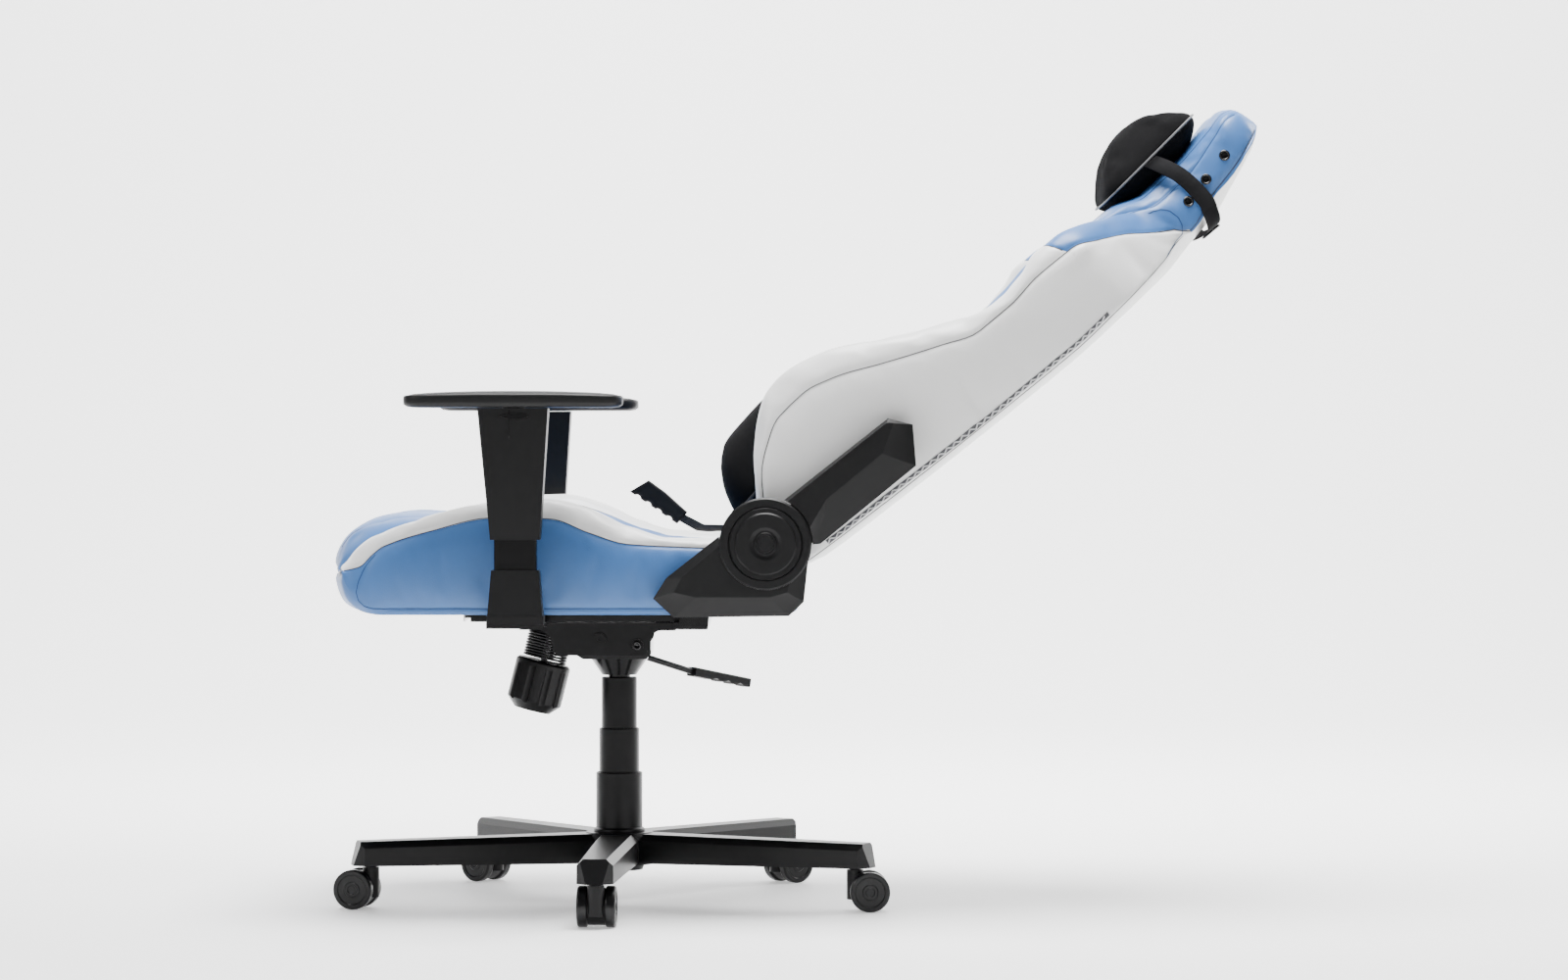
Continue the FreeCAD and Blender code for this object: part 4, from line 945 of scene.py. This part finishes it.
def arm_pad(side, name):
    """Soft pad: a crowned top inside a welt line, rounded edges and a recess for the turntable."""
    outlines = [
        (20.4, 45.4, 634.2, 0, 0.10), (20.4, 45.4, 627.9, 0, 0.10), (39, 121, 627.9, 0, 0.38),
        (43, 128.5, 629.0, 0, 0.38), (45.6, 132, 631.6, 0, 0.38), (46, 132.5, 634.5, 0, 0.38),
        (46, 132.5, 639.6, 0.8, 0.38), (45.8, 132.2, 642.2, 1.6, 0.38), (45.0, 131.4, 643.9, 2.2, 0.38),
        (43.4, 129.9, 645.0, 2.6, 0.38), (42.0, 128.6, 645.1, 2.6, 0.38),
        (41.1, 127.7, 644.4, 2.6, 0.38), (40.0, 126.6, 645.4, 2.6, 0.40), (36, 121, 646.7, 2.8, 0.44),
        (27, 100, 647.8, 3.0, 0.5), (14, 60, 648.2, 3.0, 0.6), (4, 20, 648.2, 3.0, 0.8),
    ]
    verts = []
    faces = []
    for outline in outlines:
        verts += pad_ring(side, *outline)
    for row in range(len(outlines) - 1):
        for i in range(72):
            j = (i + 1) % 72
            faces.append((72 * row + i, 72 * row + j, 72 * row + 72 + j, 72 * row + 72 + i))
    faces.append(tuple(range(72)))
    faces.append(tuple(72 * (len(outlines) - 1) + i for i in reversed(range(72))))
    pad = joined("arm_pad_cover_" + name, [(verts, faces, 0)], [PAD], "pad_" + name)
    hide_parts("arm_pad_" + name)


def sleeve_mark(side, name):
    """Fine moulded line down the middle of the sleeve's outer face."""
    line = [seat_place(side * (ARM_X + 22.95), -122, 625), seat_place(side * (ARM_X + 21.6), -122, 590)]
    cord = tube_mesh(dense(line, 5 * MM), 0.45 * MM)
    joined("sleeve_line_" + name, [(*cord, 0)], [GLOSS], "arm_upper_" + name)


SPRING_LEAN = math.radians(14)
SPRING_FOOT = (0, -96, 307)
SPRING_RADIUS = 27
SPRING_WIRE_RADIUS = 1.5
SPRING_TURNS = 9.0
SPRING_LOW = 1.6
SPRING_HIGH = 33.8
STEPS_PER_TURN = 36


def tension_spring():
    """Round-wire coil between the knob and the spring seat."""
    along = Vector((0, math.sin(SPRING_LEAN), math.cos(SPRING_LEAN)))
    across = Vector((0, math.cos(SPRING_LEAN), -math.sin(SPRING_LEAN)))
    foot = seat_place(*SPRING_FOOT)
    total = int(SPRING_TURNS * STEPS_PER_TURN)
    points = []
    for i in range(total + 1):
        angle = 2 * math.pi * i / STEPS_PER_TURN
        height = SPRING_LOW + (SPRING_HIGH - SPRING_LOW) * i / (SPRING_TURNS * STEPS_PER_TURN)
        out = Vector((1, 0, 0)) * math.cos(angle) + across * math.sin(angle)
        points.append(foot + out * SPRING_RADIUS * MM + along * height * MM)
    wire = tube_mesh(points, SPRING_WIRE_RADIUS * MM, sides=8)
    coil = joined("tension_spring_coil", [(*wire, 0)], [SPRING], "mechanism")
    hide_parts("tension_spring")
    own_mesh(coil)


def screws():
    """One socket screw in each side of the seat plate."""
    profile = [(5.6, -0.5), (5.6, 2.2), (5.0, 3.0), (3.0, 3.0), (2.8, 1.2)]
    parts = []
    for side in (1, -1):
        parts.append((*turned_mesh(profile, seat_place(side * 76.2, 25, 330), Vector((side, 0, 0))), 0))
    joined("seat_plate_screws", parts, [GLOSS], "seat")


# ---------------------------------------------------------------- stage, light and camera
def stage():
    floor_material = principled("studio_sweep", (0.9, 0.9, 0.9), 0.6)
    nodes = floor_material.node_tree.nodes
    links = floor_material.node_tree.links
    shader = nodes["Principled BSDF"]
    shader.inputs["Emission Color"].default_value = (1.0, 1.0, 1.0, 1.0)
    place = nodes.new("ShaderNodeTexCoord")
    split = nodes.new("ShaderNodeSeparateXYZ")
    glow = nodes.new("ShaderNodeMapRange")
    for socket, value in (("From Min", -5.0), ("From Max", 0.6), ("To Min", 1.6), ("To Max", 0.3)):
        glow.inputs[socket].default_value = value
    links.new(place.outputs["Object"], split.inputs["Vector"])
    links.new(split.outputs["X"], glow.inputs["Value"])
    links.new(glow.outputs["Result"], shader.inputs["Emission Strength"])
    verts = []
    faces = []
    depth = 24
    for i in range(depth + 1):
        if i == 0:
            x, z = 9.0, 0.0
        else:
            angle = (i - 1) / (depth - 1) * math.pi / 2
            x = -3.5 - 2.0 * math.sin(angle)
            z = 2.0 - 2.0 * math.cos(angle)
        verts.append(Vector((x, -9, z)))
        verts.append(Vector((x, 9, z)))
    verts.append(Vector((-5.5, -9, 8)))
    verts.append(Vector((-5.5, 9, 8)))
    for i in range(depth + 1):
        faces.append((2 * i, 2 * i + 1, 2 * i + 3, 2 * i + 2))
    floor = mesh_object("studio_sweep", verts, faces, [floor_material])
    world = bpy.data.worlds.new("studio")
    world.use_nodes = True
    world.node_tree.nodes["Background"].inputs["Color"].default_value = (1.0, 1.0, 1.0, 1.0)
    world.node_tree.nodes["Background"].inputs["Strength"].default_value = 0.12
    bpy.context.scene.world = world
    area_light("overhead", (0.3, 0.3, 3.6), (0, 0.2, 0.4), 2.2, 400)
    area_light("front_key", (2.4, -3.0, 2.0), (0, 0.0, 0.6), 1.2, 30)
    area_light("rear_rim", (-1.4, 3.0, 2.2), (0, 0.3, 0.6), 1.4, 80)
    area_light("far_wash", (-1.2, 0.2, 2.6), (-5.5, 0.2, 1.2), 2.5, 260)


def area_light(name, place, target, size, power):
    data = bpy.data.lights.new(name, "AREA")
    data.shape = "DISK"
    data.size = size
    data.energy = power
    light = bpy.data.objects.new(name, data)
    light.location = place
    light.rotation_euler = (Vector(target) - Vector(place)).to_track_quat("-Z", "Y").to_euler()
    bpy.context.scene.collection.objects.link(light)


def camera():
    data = bpy.data.cameras.new("camera")
    data.sensor_width = 36.0
    data.lens = 103.7
    data.shift_y = -0.03125
    eye = bpy.data.objects.new("camera", data)
    eye.location = (5.76, 0.21, 0.5875)
    eye.rotation_euler = (math.radians(90), 0, math.radians(90))
    bpy.context.scene.collection.objects.link(eye)
    bpy.context.scene.camera = eye


def build():
    paint_cad_nodes()
    back_cushion()
    seat_cushion()
    lumbar_pillow()
    head_pillow()
    head_strap()
    for side, name in ((1, "left"), (-1, "right")):
        arm_pad(side, name)
        sleeve_mark(side, name)
    tension_spring()
    screws()
    stage()
    camera()


build()
